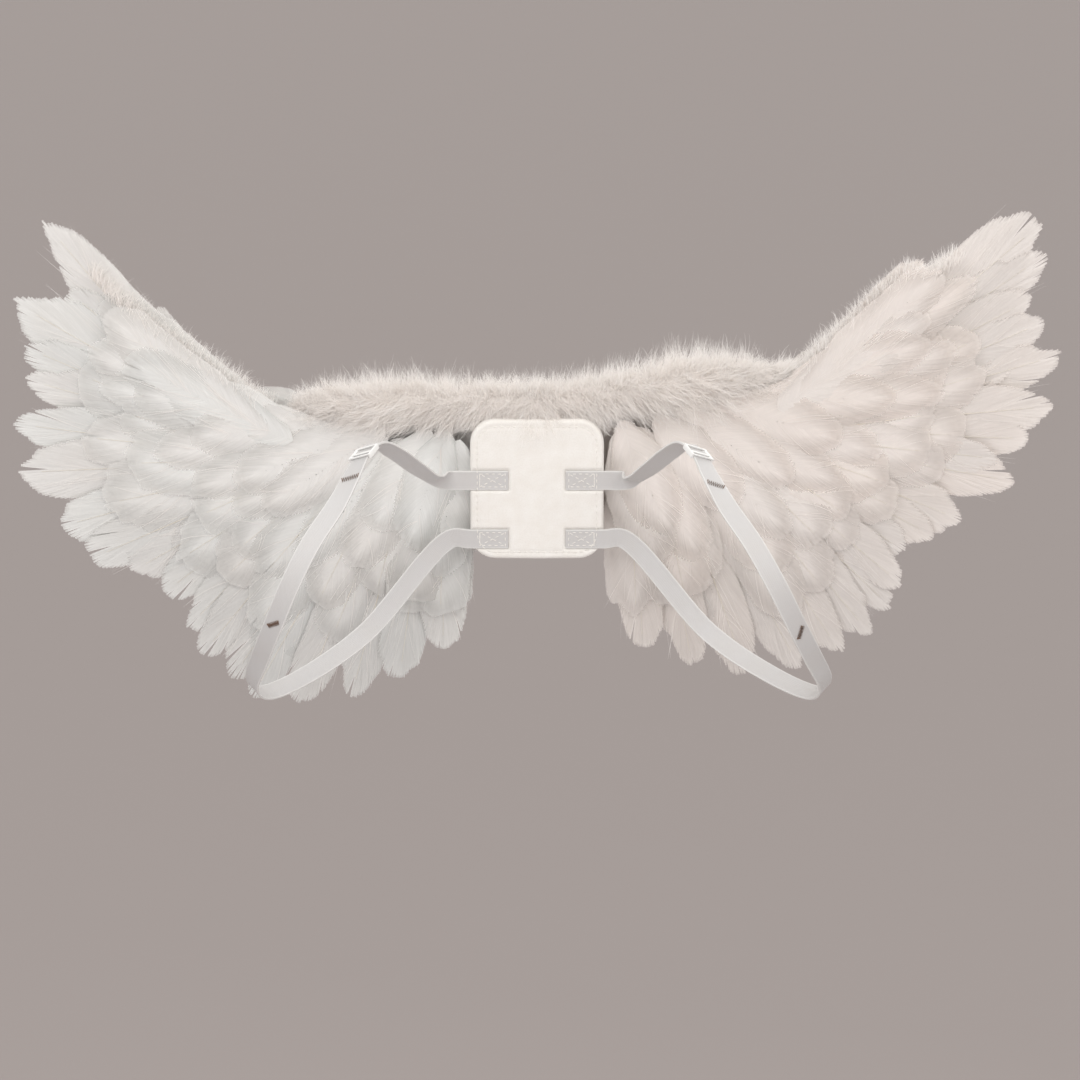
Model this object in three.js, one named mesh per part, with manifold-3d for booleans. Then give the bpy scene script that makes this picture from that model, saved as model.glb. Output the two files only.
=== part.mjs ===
// Feather costume wings: two fans of feathers carried by a cloth-covered back panel, a marabou boa over the
// arms of both wings, and two elastic shoulder straps with sliders. Millimetres, +Z up, the wearer faces -Y.
// The origin is the centre of the panel's front face, which lies between the wearer's shoulder blades.

import * as THREE from "three";
import { mergeVertices } from "three/addons/utils/BufferGeometryUtils.js";
import Module from "manifold-3d";

const wasm = await Module();
wasm.setup();

// Gap between neighbouring pieces
const CLEARANCE = 0.3;

// Back panel
const PANEL_WIDTH = 84;
const PANEL_HEIGHT = 90;
const PANEL_THICKNESS = 6;
const PANEL_CORNER = 16;

// Wings: they lean back by SWEEP for each millimetre outwards, and each row of feathers takes ROW_DEPTH
const SWEEP = 0.12;
const ROW_DEPTH = 4.8;
const VANE_THICKNESS = 1.4;
const QUILL_HEIGHT = 0.7;

// The web that carries the feathers, and its arm from the middle to the wrist
const WEB_THICKNESS = 1.6;
const WRIST_OUT = 160;
const ARM_TOP_MIDDLE = 47;
const ARM_DEPTH = 74;

// Feathers, the longest and widest of each row
const PRIMARY_LENGTH = 210;
const PRIMARY_WIDTH = 40;
const COVERT_LENGTH = 84;
const COVERT_WIDTH = 30;
const ROOT_OUT = 150;
const ROOT_IN = 50;

// Marabou boa: its half length, its core, and the locks of down on it
const BOA_REACH = 150;
const BOA_RISE = 2;
const BOA_CORE_RADIUS = 21;
const BOA_LOCK_LENGTH = 11;
const BOA_LOCK_WIDTH = 24;
const BOA_LOCK_ROOT = 4;

// Shoulder straps: the loop's size from the panel's face, and the elastic
const STRAP_WIDTH = 12.7;
const STRAP_THICKNESS = 1.3;
const STRAP_OUT = 174;
const STRAP_FORWARD = 135;
const STRAP_CREST = 44;
const STRAP_DROP = 156;
const STRAP_TAB = 24;
const UPPER_TAB_HEIGHT = 6;
const LOWER_TAB_HEIGHT = -32;

// Strap sliders
const SLIDER_LENGTH = 13;
const SLIDER_WALL = 1.9;
const SLIDER_THICKNESS = 1.3;

// Each wing's own shape: the height of its arm at the wrist and of its outer and inner feather roots, as shares of
// the arm's height at the middle, and how far out its strap runs. The feathers go from the leading edge down to
// the panel: angle in degrees above level, length and width as shares of the longest and widest. What the wearer's
// body hides, the last feathers, runs on evenly.
const WINGS = {
  left: {
    side: -1,
    armTopShare: 1.04,
    rootShare: { out: 0.3, in: 0.43 },
    strapShare: { crest: 1, foot: 1 },
    feathers: [
      { angle: 35, length: 1, width: 0.74, curl: 0.14 },
      { angle: 30, length: 0.9, width: 0.8, curl: 0.08 },
      { angle: 25, length: 0.99, width: 1.1, curl: 0.05 },
      { angle: 18, length: 0.91, width: 0.7, curl: 0.03 },
      { angle: 13.5, length: 0.89, width: 0.84, curl: 0 },
      { angle: 4.5, length: 0.88, width: 0.96, curl: 0.02 },
      { angle: -5.5, length: 0.89, width: 1.12, curl: 0.02 },
      { angle: -16.5, length: 0.84, width: 0.9, curl: 0 },
      { angle: -25, length: 0.82, width: 0.82, curl: 0 },
      { angle: -31, length: 0.75, width: 0.86, curl: 0 },
      { angle: -38, length: 0.73, width: 0.82, curl: 0 },
      { angle: -45, length: 0.78, width: 0.76, curl: -0.02 },
      { angle: -50, length: 0.84, width: 0.76, curl: -0.02 },
      { angle: -57, length: 0.87, width: 0.7, curl: 0 },
      { angle: -61, length: 0.9, width: 0.66, curl: 0 },
      { angle: -68, length: 0.86, width: 0.76, curl: 0 },
      { angle: -75, length: 0.8, width: 0.76, curl: 0 },
      { angle: -82, length: 0.72, width: 0.76, curl: 0 },
      { angle: -89, length: 0.62, width: 0.72, curl: 0 },
    ],
  },
  right: {
    side: 1,
    armTopShare: 1.34,
    rootShare: { out: 0.64, in: 0.51 },
    strapShare: { crest: 0.93, foot: 1.02 },
    feathers: [
      { angle: 46, length: 0.69, width: 0.7, curl: 0.06 },
      { angle: 37.5, length: 1, width: 0.78, curl: 0.06 },
      { angle: 30.5, length: 0.97, width: 0.86, curl: 0.04 },
      { angle: 25.5, length: 0.88, width: 0.9, curl: 0.02 },
      { angle: 19.5, length: 0.89, width: 0.8, curl: 0.03 },
      { angle: 12, length: 0.9, width: 0.86, curl: 0.03 },
      { angle: 4, length: 0.86, width: 0.9, curl: 0 },
      { angle: -3, length: 0.8, width: 0.8, curl: 0 },
      { angle: -9.5, length: 0.81, width: 0.92, curl: 0 },
      { angle: -15.5, length: 0.77, width: 0.9, curl: 0.02 },
      { angle: -23.5, length: 0.72, width: 0.8, curl: 0 },
      { angle: -29, length: 0.69, width: 0.76, curl: 0 },
      { angle: -35, length: 0.66, width: 0.76, curl: 0 },
      { angle: -40.5, length: 0.74, width: 0.76, curl: 0 },
      { angle: -45, length: 0.79, width: 0.76, curl: 0 },
      { angle: -50.5, length: 0.82, width: 0.8, curl: 0 },
      { angle: -56, length: 0.82, width: 0.76, curl: 0 },
      { angle: -63, length: 0.82, width: 0.76, curl: 0 },
      { angle: -71, length: 0.78, width: 0.76, curl: 0 },
      { angle: -79, length: 0.72, width: 0.76, curl: 0 },
      { angle: -87, length: 0.64, width: 0.72, curl: 0 },
    ],
  },
};

// A feather's outline outside the web that carries it, and that of a short feather from its root on: the width at
// places along it, as shares of its own length and width
const LONG_OUTLINE = [
  { along: 0.42, width: 0.36 },
  { along: 0.6, width: 0.86 },
  { along: 0.84, width: 1 },
  { along: 0.96, width: 0.62 },
  { along: 1, width: 0.16 },
];
const SHORT_OUTLINE = [
  { along: 0, width: 0.3 },
  { along: 0.4, width: 0.95 },
  { along: 0.8, width: 1 },
  { along: 1, width: 0.3 },
];
const WEB_REACH = 0.56;

// The rows behind each other, counted from the one that lies behind the panel. Each shows its quills to the front
// or to the rear. The long rows take the wing's feathers `every` so many, shortened to `share` of their length, and
// two of them have a web that runs over the whole arm, on the side that the short rows lie on.
const ROWS = {
  covert: { place: -1, facing: -1 },
  secondary: { place: 0, facing: -1, share: 0.74, every: 2, arm: true },
  primary: { place: 1, facing: -1, share: 1, every: 1, arm: false },
  rear_secondary: { place: 2, facing: 1, share: 0.76, every: 2, arm: true },
  rear_covert: { place: 3, facing: 1 },
};
const ROOT_SPREAD = { angle: 95, power: 1.3 };
const WIDEST_SHARE = 1.2;

// The short feathers fan out from the wrist to the panel, from the first angle to the last
const COVERT_FAN = { count: 9, first: 26, last: -89, power: 0.8, shortest: 0.72 };

// The boa's locks stand in rings from below level at the front, over the top, to below level at the rear
const BOA_CORE = { sides: 8, rings: 13, endPower: 8, endShare: 0.1 };
const BOA_LOCKS = { rings: 12, around: 4, sides: 5, droop: 38, reach: 0.97, shortest: 0.75, scatter: 0.5 };

// The strap's route from the panel's upper tab over the shoulder, down the chest and under the arm to the lower
// tab: shares of STRAP_OUT, of STRAP_FORWARD and of STRAP_DROP below the crest, and the way its face looks.
const STRAP_ROUTE = [
  { out: 0.37, forward: 0.07, drop: 0.22, face: [0.3, 0.9, 0.3] },
  { out: 0.43, forward: 0.19, drop: 0.15, face: [-0.1, 0.7, 0.7] },
  { out: 0.5, forward: 0.33, drop: 0.06, face: [-0.3, 0.4, 0.85] },
  { out: 0.56, forward: 0.45, drop: 0, face: [-0.3, 0, 0.95] },
  { out: 0.6, forward: 0.555, drop: 0.018, face: [-0.25, -0.3, 0.92] },
  { out: 0.64, forward: 0.69, drop: 0.085, face: [-0.25, -0.7, 0.7] },
  { out: 0.69, forward: 0.83, drop: 0.17, face: [-0.25, -0.85, 0.5] },
  { out: 0.77, forward: 0.95, drop: 0.29, face: [-0.3, -0.93, 0.25] },
  { out: 0.84, forward: 1, drop: 0.44, face: [-0.4, -0.92, 0] },
  { out: 0.895, forward: 0.97, drop: 0.59, face: [-0.55, -0.83, -0.1] },
  { out: 0.95, forward: 0.87, drop: 0.75, face: [-0.75, -0.62, -0.2] },
  { out: 0.995, forward: 0.7, drop: 0.91, face: [-0.85, -0.35, -0.4] },
  { out: 0.96, forward: 0.5, drop: 1, face: [-0.6, 0, -0.8] },
  { out: 0.83, forward: 0.29, drop: 0.985, face: [-0.4, 0.4, -0.8] },
  { out: 0.62, forward: 0.12, drop: 0.85, face: [-0.1, 0.85, -0.5] },
];
// The slider's place in the route, counted from the end of the upper tab with its three points
const SLIDER_PLACE = 7;

const featherWhite = { color: 0xf2efec, roughness: 0.85, metalness: 0 };
const downWhite = { color: 0xf4f0ed, roughness: 0.95, metalness: 0 };
const feltWhite = { color: 0xeeeae4, roughness: 0.9, metalness: 0 };
const satinWhite = { color: 0xf6f6f4, roughness: 0.45, metalness: 0 };
const plasticWhite = { color: 0xf7f7f5, roughness: 0.35, metalness: 0 };

// A closed geometry as a solid to join and cut
function solidFrom(geometry) {
  const bare = geometry.clone();
  bare.deleteAttribute("normal");
  bare.deleteAttribute("uv");
  const merged = mergeVertices(bare, 1e-4);
  return new wasm.Manifold(
    new wasm.Mesh({
      numProp: 3,
      vertProperties: merged.attributes.position.array,
      triVerts: new Uint32Array(merged.index.array),
    }),
  );
}

function geometryFrom(solid) {
  const { vertProperties, triVerts } = solid.getMesh();
  const geometry = new THREE.BufferGeometry();
  geometry.setAttribute("position", new THREE.BufferAttribute(new Float32Array(vertProperties), 3));
  geometry.setIndex(new THREE.BufferAttribute(new Uint32Array(triVerts), 1));
  geometry.computeVertexNormals();
  return geometry;
}

const join = (solids) => solids.reduce((all, next) => all.add(next));

// A closed geometry through rings of points that turn left-handed about the way from ring to ring
function loft(rings) {
  const count = rings[0].length;
  const index = [];
  for (let i = 0; i + 1 < rings.length; i++) {
    for (let j = 0; j < count; j++) {
      const here = i * count + j;
      const beside = i * count + ((j + 1) % count);
      index.push(here, here + count, beside + count, here, beside + count, beside);
    }
  }
  const last = (rings.length - 1) * count;
  for (let j = 1; j + 1 < count; j++) {
    index.push(0, j, j + 1, last, last + j + 1, last + j);
  }
  const geometry = new THREE.BufferGeometry().setFromPoints(rings.flat());
  geometry.setIndex(index);
  return geometry;
}

// Leans a wing's geometry back and puts it on its side of the middle; the far side is turned inside out by that,
// so its faces are turned round again
function onWing(geometry, side) {
  const position = geometry.attributes.position;
  for (let i = 0; i < position.count; i++) {
    const out = position.getX(i);
    position.setXYZ(i, side * out, position.getY(i) + SWEEP * out, position.getZ(i));
  }
  if (side < 0) {
    const index = geometry.index;
    for (let i = 0; i < index.count; i += 3) {
      const second = index.getX(i + 1);
      index.setX(i + 1, index.getX(i + 2));
      index.setX(i + 2, second);
    }
  }
  geometry.computeVertexNormals();
  return geometry;
}

const rowFront = (place) => PANEL_THICKNESS + CLEARANCE + place * (ROW_DEPTH + CLEARANCE);
const armTop = (wing, out) => ARM_TOP_MIDDLE * THREE.MathUtils.lerp(1, wing.armTopShare, out / WRIST_OUT);

// The way along a feather and the way across it, in the flat wing
function directions(angle) {
  const turn = THREE.MathUtils.degToRad(angle);
  return {
    ahead: new THREE.Vector3(Math.cos(turn), 0, Math.sin(turn)),
    aside: new THREE.Vector3(-Math.sin(turn), 0, Math.cos(turn)),
  };
}

// One feather in the flat wing, where x runs outwards, y from front to rear and z up: a thin blade with a raised
// quill, tilted about it so that each feather shows one edge over the next
function feather({ root, angle, length, width, curl }, row, outline) {
  const { ahead, aside } = directions(angle);
  const tilt = (ROW_DEPTH - VANE_THICKNESS) / width;
  const near = row.facing < 0 ? 0 : ROW_DEPTH;
  const front = rowFront(row.place) + near;
  const rings = outline.map((section) => {
    const along = section.along * length;
    const bow = curl * length * section.along ** 2;
    const half = (width * section.width) / 2;
    const lean = 2 * curl * section.along;
    const across = aside.clone().addScaledVector(ahead, -lean).normalize();
    const middle = root.clone().addScaledVector(ahead, along).addScaledVector(aside, bow);
    const at = (offset, depth) => {
      const point = middle.clone().addScaledVector(across, offset);
      const raised = (ROW_DEPTH - VANE_THICKNESS) / 2 - tilt * offset + depth;
      point.y = front - row.facing * raised;
      return point;
    };
    const ring = [
      at(half, 0),
      at(0, -QUILL_HEIGHT),
      at(-half, 0),
      at(-half, VANE_THICKNESS),
      at(half, VANE_THICKNESS),
    ];
    return row.facing < 0 ? ring.reverse() : ring;
  });
  return solidFrom(loft(rings));
}

// The place of a long feather's root: the lower it points, the nearer it sits to the middle
function featherRoot(wing, angle) {
  const inwards = Math.max(0, -angle / ROOT_SPREAD.angle) ** ROOT_SPREAD.power;
  const out = THREE.MathUtils.lerp(ROOT_OUT, ROOT_IN, inwards);
  const height = ARM_TOP_MIDDLE * THREE.MathUtils.lerp(wing.rootShare.out, wing.rootShare.in, inwards);
  return new THREE.Vector3(out, 0, height);
}

// The feathers of a long row, from the leading edge down. In the shorter rows they stand between the longest ones.
function longFeathers(wing, row) {
  const own = wing.feathers.filter((_, i) => i % row.every === 0);
  return own.map((shape, i) => {
    const next = own[Math.min(i + 1, own.length - 1)];
    const angle = row.share < 1 ? (shape.angle + next.angle) / 2 : shape.angle;
    return {
      root: featherRoot(wing, angle),
      angle,
      length: PRIMARY_LENGTH * row.share * (row.share < 1 ? Math.min(shape.length, next.length) : shape.length),
      width: PRIMARY_WIDTH * Math.min(WIDEST_SHARE, shape.width * Math.sqrt(row.every)),
      curl: shape.curl,
    };
  });
}

// The stiff web that a long row's feathers are glued to: in the middle of the row's depth, or with an arm on the
// side that the row faces
function rowWeb(wing, row, feathers) {
  const points = feathers.map(({ root, angle, length }) =>
    root.clone().addScaledVector(directions(angle).ahead, length * WEB_REACH),
  );
  const inner = CLEARANCE / 2;
  const arm = [
    new THREE.Vector3(inner, 0, ARM_TOP_MIDDLE - ARM_DEPTH),
    new THREE.Vector3(inner, 0, armTop(wing, inner)),
    new THREE.Vector3(WRIST_OUT, 0, armTop(wing, WRIST_OUT)),
  ];
  const roots = [feathers.at(-1).root, feathers[0].root];
  const corners = [...(row.arm ? arm : roots), ...points].map(({ x, z }) => new THREE.Vector2(x, z));
  const plate = new THREE.ExtrudeGeometry(new THREE.Shape(corners), { depth: WEB_THICKNESS, bevelEnabled: false });
  plate.rotateX(Math.PI / 2);
  const spare = ROW_DEPTH - WEB_THICKNESS;
  const front = (spare * (row.arm ? 1 + row.facing : 1)) / 2;
  return solidFrom(plate.translate(0, rowFront(row.place) + front + WEB_THICKNESS, 0));
}

function longRow(wing, row) {
  const feathers = longFeathers(wing, row);
  return join([rowWeb(wing, row, feathers), ...feathers.map((shape) => feather(shape, row, LONG_OUTLINE))]);
}

// A row of short feathers along the arm, from the wrist to the side of the panel
function shortRow(wing, row) {
  const innermost = PANEL_WIDTH / 2 + COVERT_WIDTH / 2 + 2 * CLEARANCE;
  const blades = Array.from({ length: COVERT_FAN.count }, (_, i) => {
    const inwards = i / (COVERT_FAN.count - 1);
    const out = THREE.MathUtils.lerp(ROOT_OUT, innermost, inwards);
    const angle = THREE.MathUtils.lerp(COVERT_FAN.first, COVERT_FAN.last, inwards ** COVERT_FAN.power);
    const length = COVERT_LENGTH * THREE.MathUtils.lerp(1, COVERT_FAN.shortest, inwards);
    const root = new THREE.Vector3(out, 0, armTop(wing, out) - COVERT_WIDTH / 2);
    return feather({ root, angle, length, width: COVERT_WIDTH, curl: 0 }, row, SHORT_OUTLINE);
  });
  return join(blades);
}

function material(look) {
  return new THREE.MeshStandardMaterial({ ...look, side: THREE.FrontSide });
}

function named(name, geometry, look) {
  const mesh = new THREE.Mesh(geometry, material(look));
  mesh.name = name;
  return mesh;
}

function wingGroup(name, wing) {
  const group = new THREE.Group();
  const solids = {
    covert: shortRow(wing, ROWS.covert),
    secondary: longRow(wing, ROWS.secondary),
    primary: longRow(wing, ROWS.primary),
    rear_secondary: longRow(wing, ROWS.rear_secondary),
    rear_covert: shortRow(wing, ROWS.rear_covert),
  };
  for (const [row, solid] of Object.entries(solids)) {
    group.add(named(`${name}_${row}_feathers`, onWing(geometryFrom(solid), wing.side), featherWhite));
  }
  return group;
}

// A box given by its lowest and highest corner
function boxBetween(low, high) {
  const size = new THREE.Vector3().subVectors(high, low);
  const box = new THREE.BoxGeometry(size.x, size.y, size.z);
  return box.translate(low.x + size.x / 2, low.y + size.y / 2, low.z + size.z / 2);
}

// Half of the panel, whose rear follows the lean of the wing behind it
function panelHalf(side) {
  const half = PANEL_WIDTH / 2;
  const high = PANEL_HEIGHT / 2;
  const outline = new THREE.Shape();
  outline.moveTo(0, -high);
  outline.lineTo(half - PANEL_CORNER, -high);
  outline.absarc(half - PANEL_CORNER, -high + PANEL_CORNER, PANEL_CORNER, -Math.PI / 2, 0);
  outline.lineTo(half, high - PANEL_CORNER);
  outline.absarc(half - PANEL_CORNER, high - PANEL_CORNER, PANEL_CORNER, 0, Math.PI / 2);
  outline.lineTo(0, high);
  const board = new THREE.ExtrudeGeometry(outline, {
    depth: PANEL_THICKNESS,
    bevelEnabled: false,
    curveSegments: 6,
  });
  board.rotateX(Math.PI / 2);
  board.translate(0, PANEL_THICKNESS, 0);
  const flat = geometryFrom(solidFrom(board));
  const position = flat.attributes.position;
  for (let i = 0; i < position.count; i++) {
    if (position.getY(i) < PANEL_THICKNESS / 2) {
      position.setY(i, -SWEEP * position.getX(i));
    }
  }
  return solidFrom(onWing(flat, side));
}

// The shallow pocket in the panel's face that a strap's end lies in
function tabPocket(side, height) {
  const inner = PANEL_WIDTH / 2 - STRAP_TAB - CLEARANCE;
  const outer = PANEL_WIDTH / 2 + STRAP_TAB;
  const half = STRAP_WIDTH / 2 + CLEARANCE;
  const floor = 2 * CLEARANCE + STRAP_THICKNESS;
  const low = new THREE.Vector3(Math.min(side * inner, side * outer), -floor, height - half);
  const high = new THREE.Vector3(Math.max(side * inner, side * outer), floor, height + half);
  return solidFrom(boxBetween(low, high));
}

function backPanel() {
  let board = panelHalf(-1).add(panelHalf(1));
  for (const { side } of Object.values(WINGS)) {
    board = board.subtract(tabPocket(side, UPPER_TAB_HEIGHT)).subtract(tabPocket(side, LOWER_TAB_HEIGHT));
  }
  return named("back_panel", geometryFrom(board), feltWhite);
}

// A fixed scatter of shares between 0 and 1
const scatter = (n) => (n * 0.618034) % 1;

// The boa's middle line: above the arms, halfway between the front row and the rear row
const boaDepth = (rowFront(ROWS.covert.place) + rowFront(ROWS.rear_covert.place) + ROW_DEPTH) / 2;
function boaMiddle(x) {
  const wing = x < 0 ? WINGS.left : WINGS.right;
  const out = Math.abs(x);
  return new THREE.Vector3(x, boaDepth + SWEEP * out, armTop(wing, out) + BOA_RISE);
}

// The core keeps its radius over most of its length, and closes in round ends
function boaRadius(x) {
  const roundness = Math.max(0, 1 - Math.abs(x / BOA_REACH) ** BOA_CORE.endPower);
  return BOA_CORE_RADIUS * Math.max(BOA_CORE.endShare, Math.sqrt(roundness));
}

// What the wings and the panel take of the space that the boa straddles, on one side of the middle
function armSpace(wing) {
  const low = -CLEARANCE;
  const high = rowFront(ROWS.rear_covert.place) + ROW_DEPTH + CLEARANCE;
  const reach = BOA_REACH + BOA_LOCK_LENGTH + BOA_LOCK_WIDTH;
  const foot = ARM_TOP_MIDDLE - 3 * BOA_CORE_RADIUS;
  const end = (out) => {
    const top = armTop(wing, out) + CLEARANCE;
    return [
      new THREE.Vector3(out, low, foot),
      new THREE.Vector3(out, low, top),
      new THREE.Vector3(out, high, top),
      new THREE.Vector3(out, high, foot),
    ];
  };
  const block = geometryFrom(solidFrom(loft([end(-CLEARANCE), end(reach)])));
  return solidFrom(onWing(block, wing.side));
}

// What the panel takes of that space, with the wearer's back in front of it
function panelSpace() {
  const out = PANEL_WIDTH / 2 + CLEARANCE;
  const high = PANEL_HEIGHT / 2 + CLEARANCE;
  const low = new THREE.Vector3(-out, -BOA_CORE_RADIUS - BOA_LOCK_WIDTH, -high);
  return solidFrom(boxBetween(low, new THREE.Vector3(out, PANEL_THICKNESS + SWEEP * out, high)));
}

// One lock of down, a cone that stands on the boa's core
function boaLock(n) {
  const ring = Math.floor(n / BOA_LOCKS.around);
  const place = (2 * (ring + scatter(n) - 0.5)) / (BOA_LOCKS.rings - 1) - 1;
  const share = THREE.MathUtils.clamp(place, -BOA_LOCKS.reach, BOA_LOCKS.reach);
  const round = ((n % BOA_LOCKS.around) + BOA_LOCKS.scatter * scatter(3 * n)) / (BOA_LOCKS.around - 0.5);
  const turn = THREE.MathUtils.degToRad((180 + 2 * BOA_LOCKS.droop) * round - BOA_LOCKS.droop);
  const outwards = new THREE.Vector3(share ** 3 / 2, -Math.cos(turn), Math.sin(turn)).normalize();
  const length = BOA_LOCK_LENGTH * (BOA_LOCKS.shortest + BOA_LOCKS.scatter * scatter(5 * n)) + BOA_LOCK_ROOT;
  const lock = new THREE.ConeGeometry(BOA_LOCK_WIDTH / 2, length, BOA_LOCKS.sides);
  lock.rotateY(2 * Math.PI * scatter(7 * n));
  lock.translate(0, length / 2 + boaRadius(share * BOA_REACH) - BOA_LOCK_ROOT, 0);
  lock.applyQuaternion(new THREE.Quaternion().setFromUnitVectors(new THREE.Vector3(0, 1, 0), outwards));
  const foot = boaMiddle(share * BOA_REACH);
  return solidFrom(lock.translate(foot.x, foot.y, foot.z));
}

// The marabou boa: a soft core with locks of down all round it, cut out below to sit over the arms
function marabouBoa() {
  const core = Array.from({ length: BOA_CORE.rings }, (_, i) => {
    const x = BOA_REACH * Math.sin(Math.PI * (i / (BOA_CORE.rings - 1) - 0.5));
    return Array.from({ length: BOA_CORE.sides }, (_, j) => {
      const turn = (-2 * Math.PI * j) / BOA_CORE.sides;
      const radial = new THREE.Vector3(0, Math.cos(turn), Math.sin(turn));
      return boaMiddle(x).addScaledVector(radial, boaRadius(x));
    });
  });
  const locks = Array.from({ length: BOA_LOCKS.rings * BOA_LOCKS.around }, (_, n) => boaLock(n));
  const space = join([armSpace(WINGS.left), armSpace(WINGS.right), panelSpace()]);
  const fur = join([solidFrom(loft(core)), ...locks]).subtract(space);
  return named("marabou_boa", geometryFrom(fur), downWhite);
}

// The strap's middle line and the way its face looks, as two curves with the same stations
function strapCurves(wing) {
  const edge = PANEL_WIDTH / 2;
  const depth = CLEARANCE + STRAP_THICKNESS / 2;
  const tab = (height) =>
    [edge - STRAP_TAB, edge, edge + STRAP_WIDTH].map((out) => new THREE.Vector3(wing.side * out, depth, height));
  const route = STRAP_ROUTE.map(({ out, forward, drop }) => {
    const share = THREE.MathUtils.lerp(wing.strapShare.crest, wing.strapShare.foot, drop);
    return new THREE.Vector3(
      wing.side * share * out * STRAP_OUT,
      -forward * STRAP_FORWARD,
      STRAP_CREST - drop * STRAP_DROP,
    );
  });
  const faces = STRAP_ROUTE.map(({ face: [x, y, z] }) => new THREE.Vector3(-wing.side * x, y, z));
  const flat = Array.from({ length: 3 }, () => new THREE.Vector3(0, 1, 0));
  const points = [...tab(UPPER_TAB_HEIGHT), ...route, ...tab(LOWER_TAB_HEIGHT).reverse()];
  return {
    middle: new THREE.CatmullRomCurve3(points),
    face: new THREE.CatmullRomCurve3([...flat, ...faces, ...flat.map((v) => v.clone())]),
    spans: points.length - 1,
  };
}

// The strap's own frame at a station: along it, out of its face, and across it
function strapFrame({ middle, face }, t) {
  const along = middle.getTangent(t);
  const out = face.getPoint(t);
  out.addScaledVector(along, -out.dot(along)).normalize();
  const across = new THREE.Vector3().crossVectors(along, out);
  return { place: middle.getPoint(t), along, out, across };
}

function strap(name, wing) {
  const curves = strapCurves(wing);
  const steps = curves.spans * 2;
  const rings = Array.from({ length: steps + 1 }, (_, i) => {
    const { place, out, across } = strapFrame(curves, i / steps);
    const corner = (a, b) =>
      place
        .clone()
        .addScaledVector(across, (a * STRAP_WIDTH) / 2)
        .addScaledVector(out, (b * STRAP_THICKNESS) / 2);
    return [corner(-1, -1), corner(1, -1), corner(1, 1), corner(-1, 1)];
  });
  return named(`${name}_strap`, geometryFrom(solidFrom(loft(rings))), satinWhite);
}

// The slider: two side rails and two end bars over the strap, and a middle bar under it
function strapSlider(name, wing) {
  const curves = strapCurves(wing);
  const { place, along, out, across } = strapFrame(curves, SLIDER_PLACE / curves.spans);
  const inner = STRAP_WIDTH / 2 + CLEARANCE;
  const outer = inner + SLIDER_WALL;
  const above = STRAP_THICKNESS / 2 + CLEARANCE;
  const top = above + SLIDER_THICKNESS;
  const long = SLIDER_LENGTH / 2;
  const bar = (low, high) => solidFrom(boxBetween(new THREE.Vector3(...low), new THREE.Vector3(...high)));
  const frame = join([
    bar([-long, inner, -top], [long, outer, top]),
    bar([-long, -outer, -top], [long, -inner, top]),
    bar([-long, -outer, above], [-long + SLIDER_WALL, outer, top]),
    bar([long - SLIDER_WALL, -outer, above], [long, outer, top]),
    bar([-SLIDER_WALL, -outer, -top], [SLIDER_WALL, outer, -above]),
  ]);
  const mesh = named(`${name}_strap_slider`, geometryFrom(frame), plasticWhite);
  mesh.position.copy(place);
  mesh.quaternion.setFromRotationMatrix(new THREE.Matrix4().makeBasis(along, across.negate(), out));
  return mesh;
}

const wings = new THREE.Group();
wings.add(backPanel(), marabouBoa());
for (const [name, wing] of Object.entries(WINGS)) {
  wings.add(wingGroup(name, wing), strap(name, wing), strapSlider(name, wing));
}

export default wings;
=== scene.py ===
import math

import bpy
import numpy as np
from mathutils import Matrix, Vector


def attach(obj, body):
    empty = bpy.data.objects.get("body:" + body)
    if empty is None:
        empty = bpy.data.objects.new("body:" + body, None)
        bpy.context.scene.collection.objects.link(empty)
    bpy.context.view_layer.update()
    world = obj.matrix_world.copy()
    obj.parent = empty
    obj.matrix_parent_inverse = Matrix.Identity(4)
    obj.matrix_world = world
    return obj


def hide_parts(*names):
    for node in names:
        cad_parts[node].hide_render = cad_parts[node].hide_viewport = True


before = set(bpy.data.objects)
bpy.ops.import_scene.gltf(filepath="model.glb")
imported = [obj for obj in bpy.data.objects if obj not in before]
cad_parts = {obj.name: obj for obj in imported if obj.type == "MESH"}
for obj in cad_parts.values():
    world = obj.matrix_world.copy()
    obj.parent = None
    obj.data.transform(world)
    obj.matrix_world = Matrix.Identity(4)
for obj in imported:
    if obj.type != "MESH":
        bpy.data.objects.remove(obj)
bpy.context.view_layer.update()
mm = 0.001


# camera: a long lens from a little above, square to the front
photoCamera = {"distance": 2.1, "elevation": 14, "lens": 111.47, "shiftX": 0.0028, "shiftY": -0.0463}


def addCamera():
    tilt = math.radians(photoCamera["elevation"])
    place = (0, -photoCamera["distance"] * math.cos(tilt), photoCamera["distance"] * math.sin(tilt))
    bpy.ops.object.camera_add(location=place, rotation=(math.pi / 2 - tilt, 0, 0))
    camera = bpy.context.object
    camera.name = "photo_camera"
    camera.data.lens = photoCamera["lens"]
    camera.data.sensor_width = 36
    camera.data.shift_x = photoCamera["shiftX"]
    camera.data.shift_y = photoCamera["shiftY"]
    camera.data.clip_end = 100
    bpy.context.scene.camera = camera


addCamera()
print("camera placed")


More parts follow.
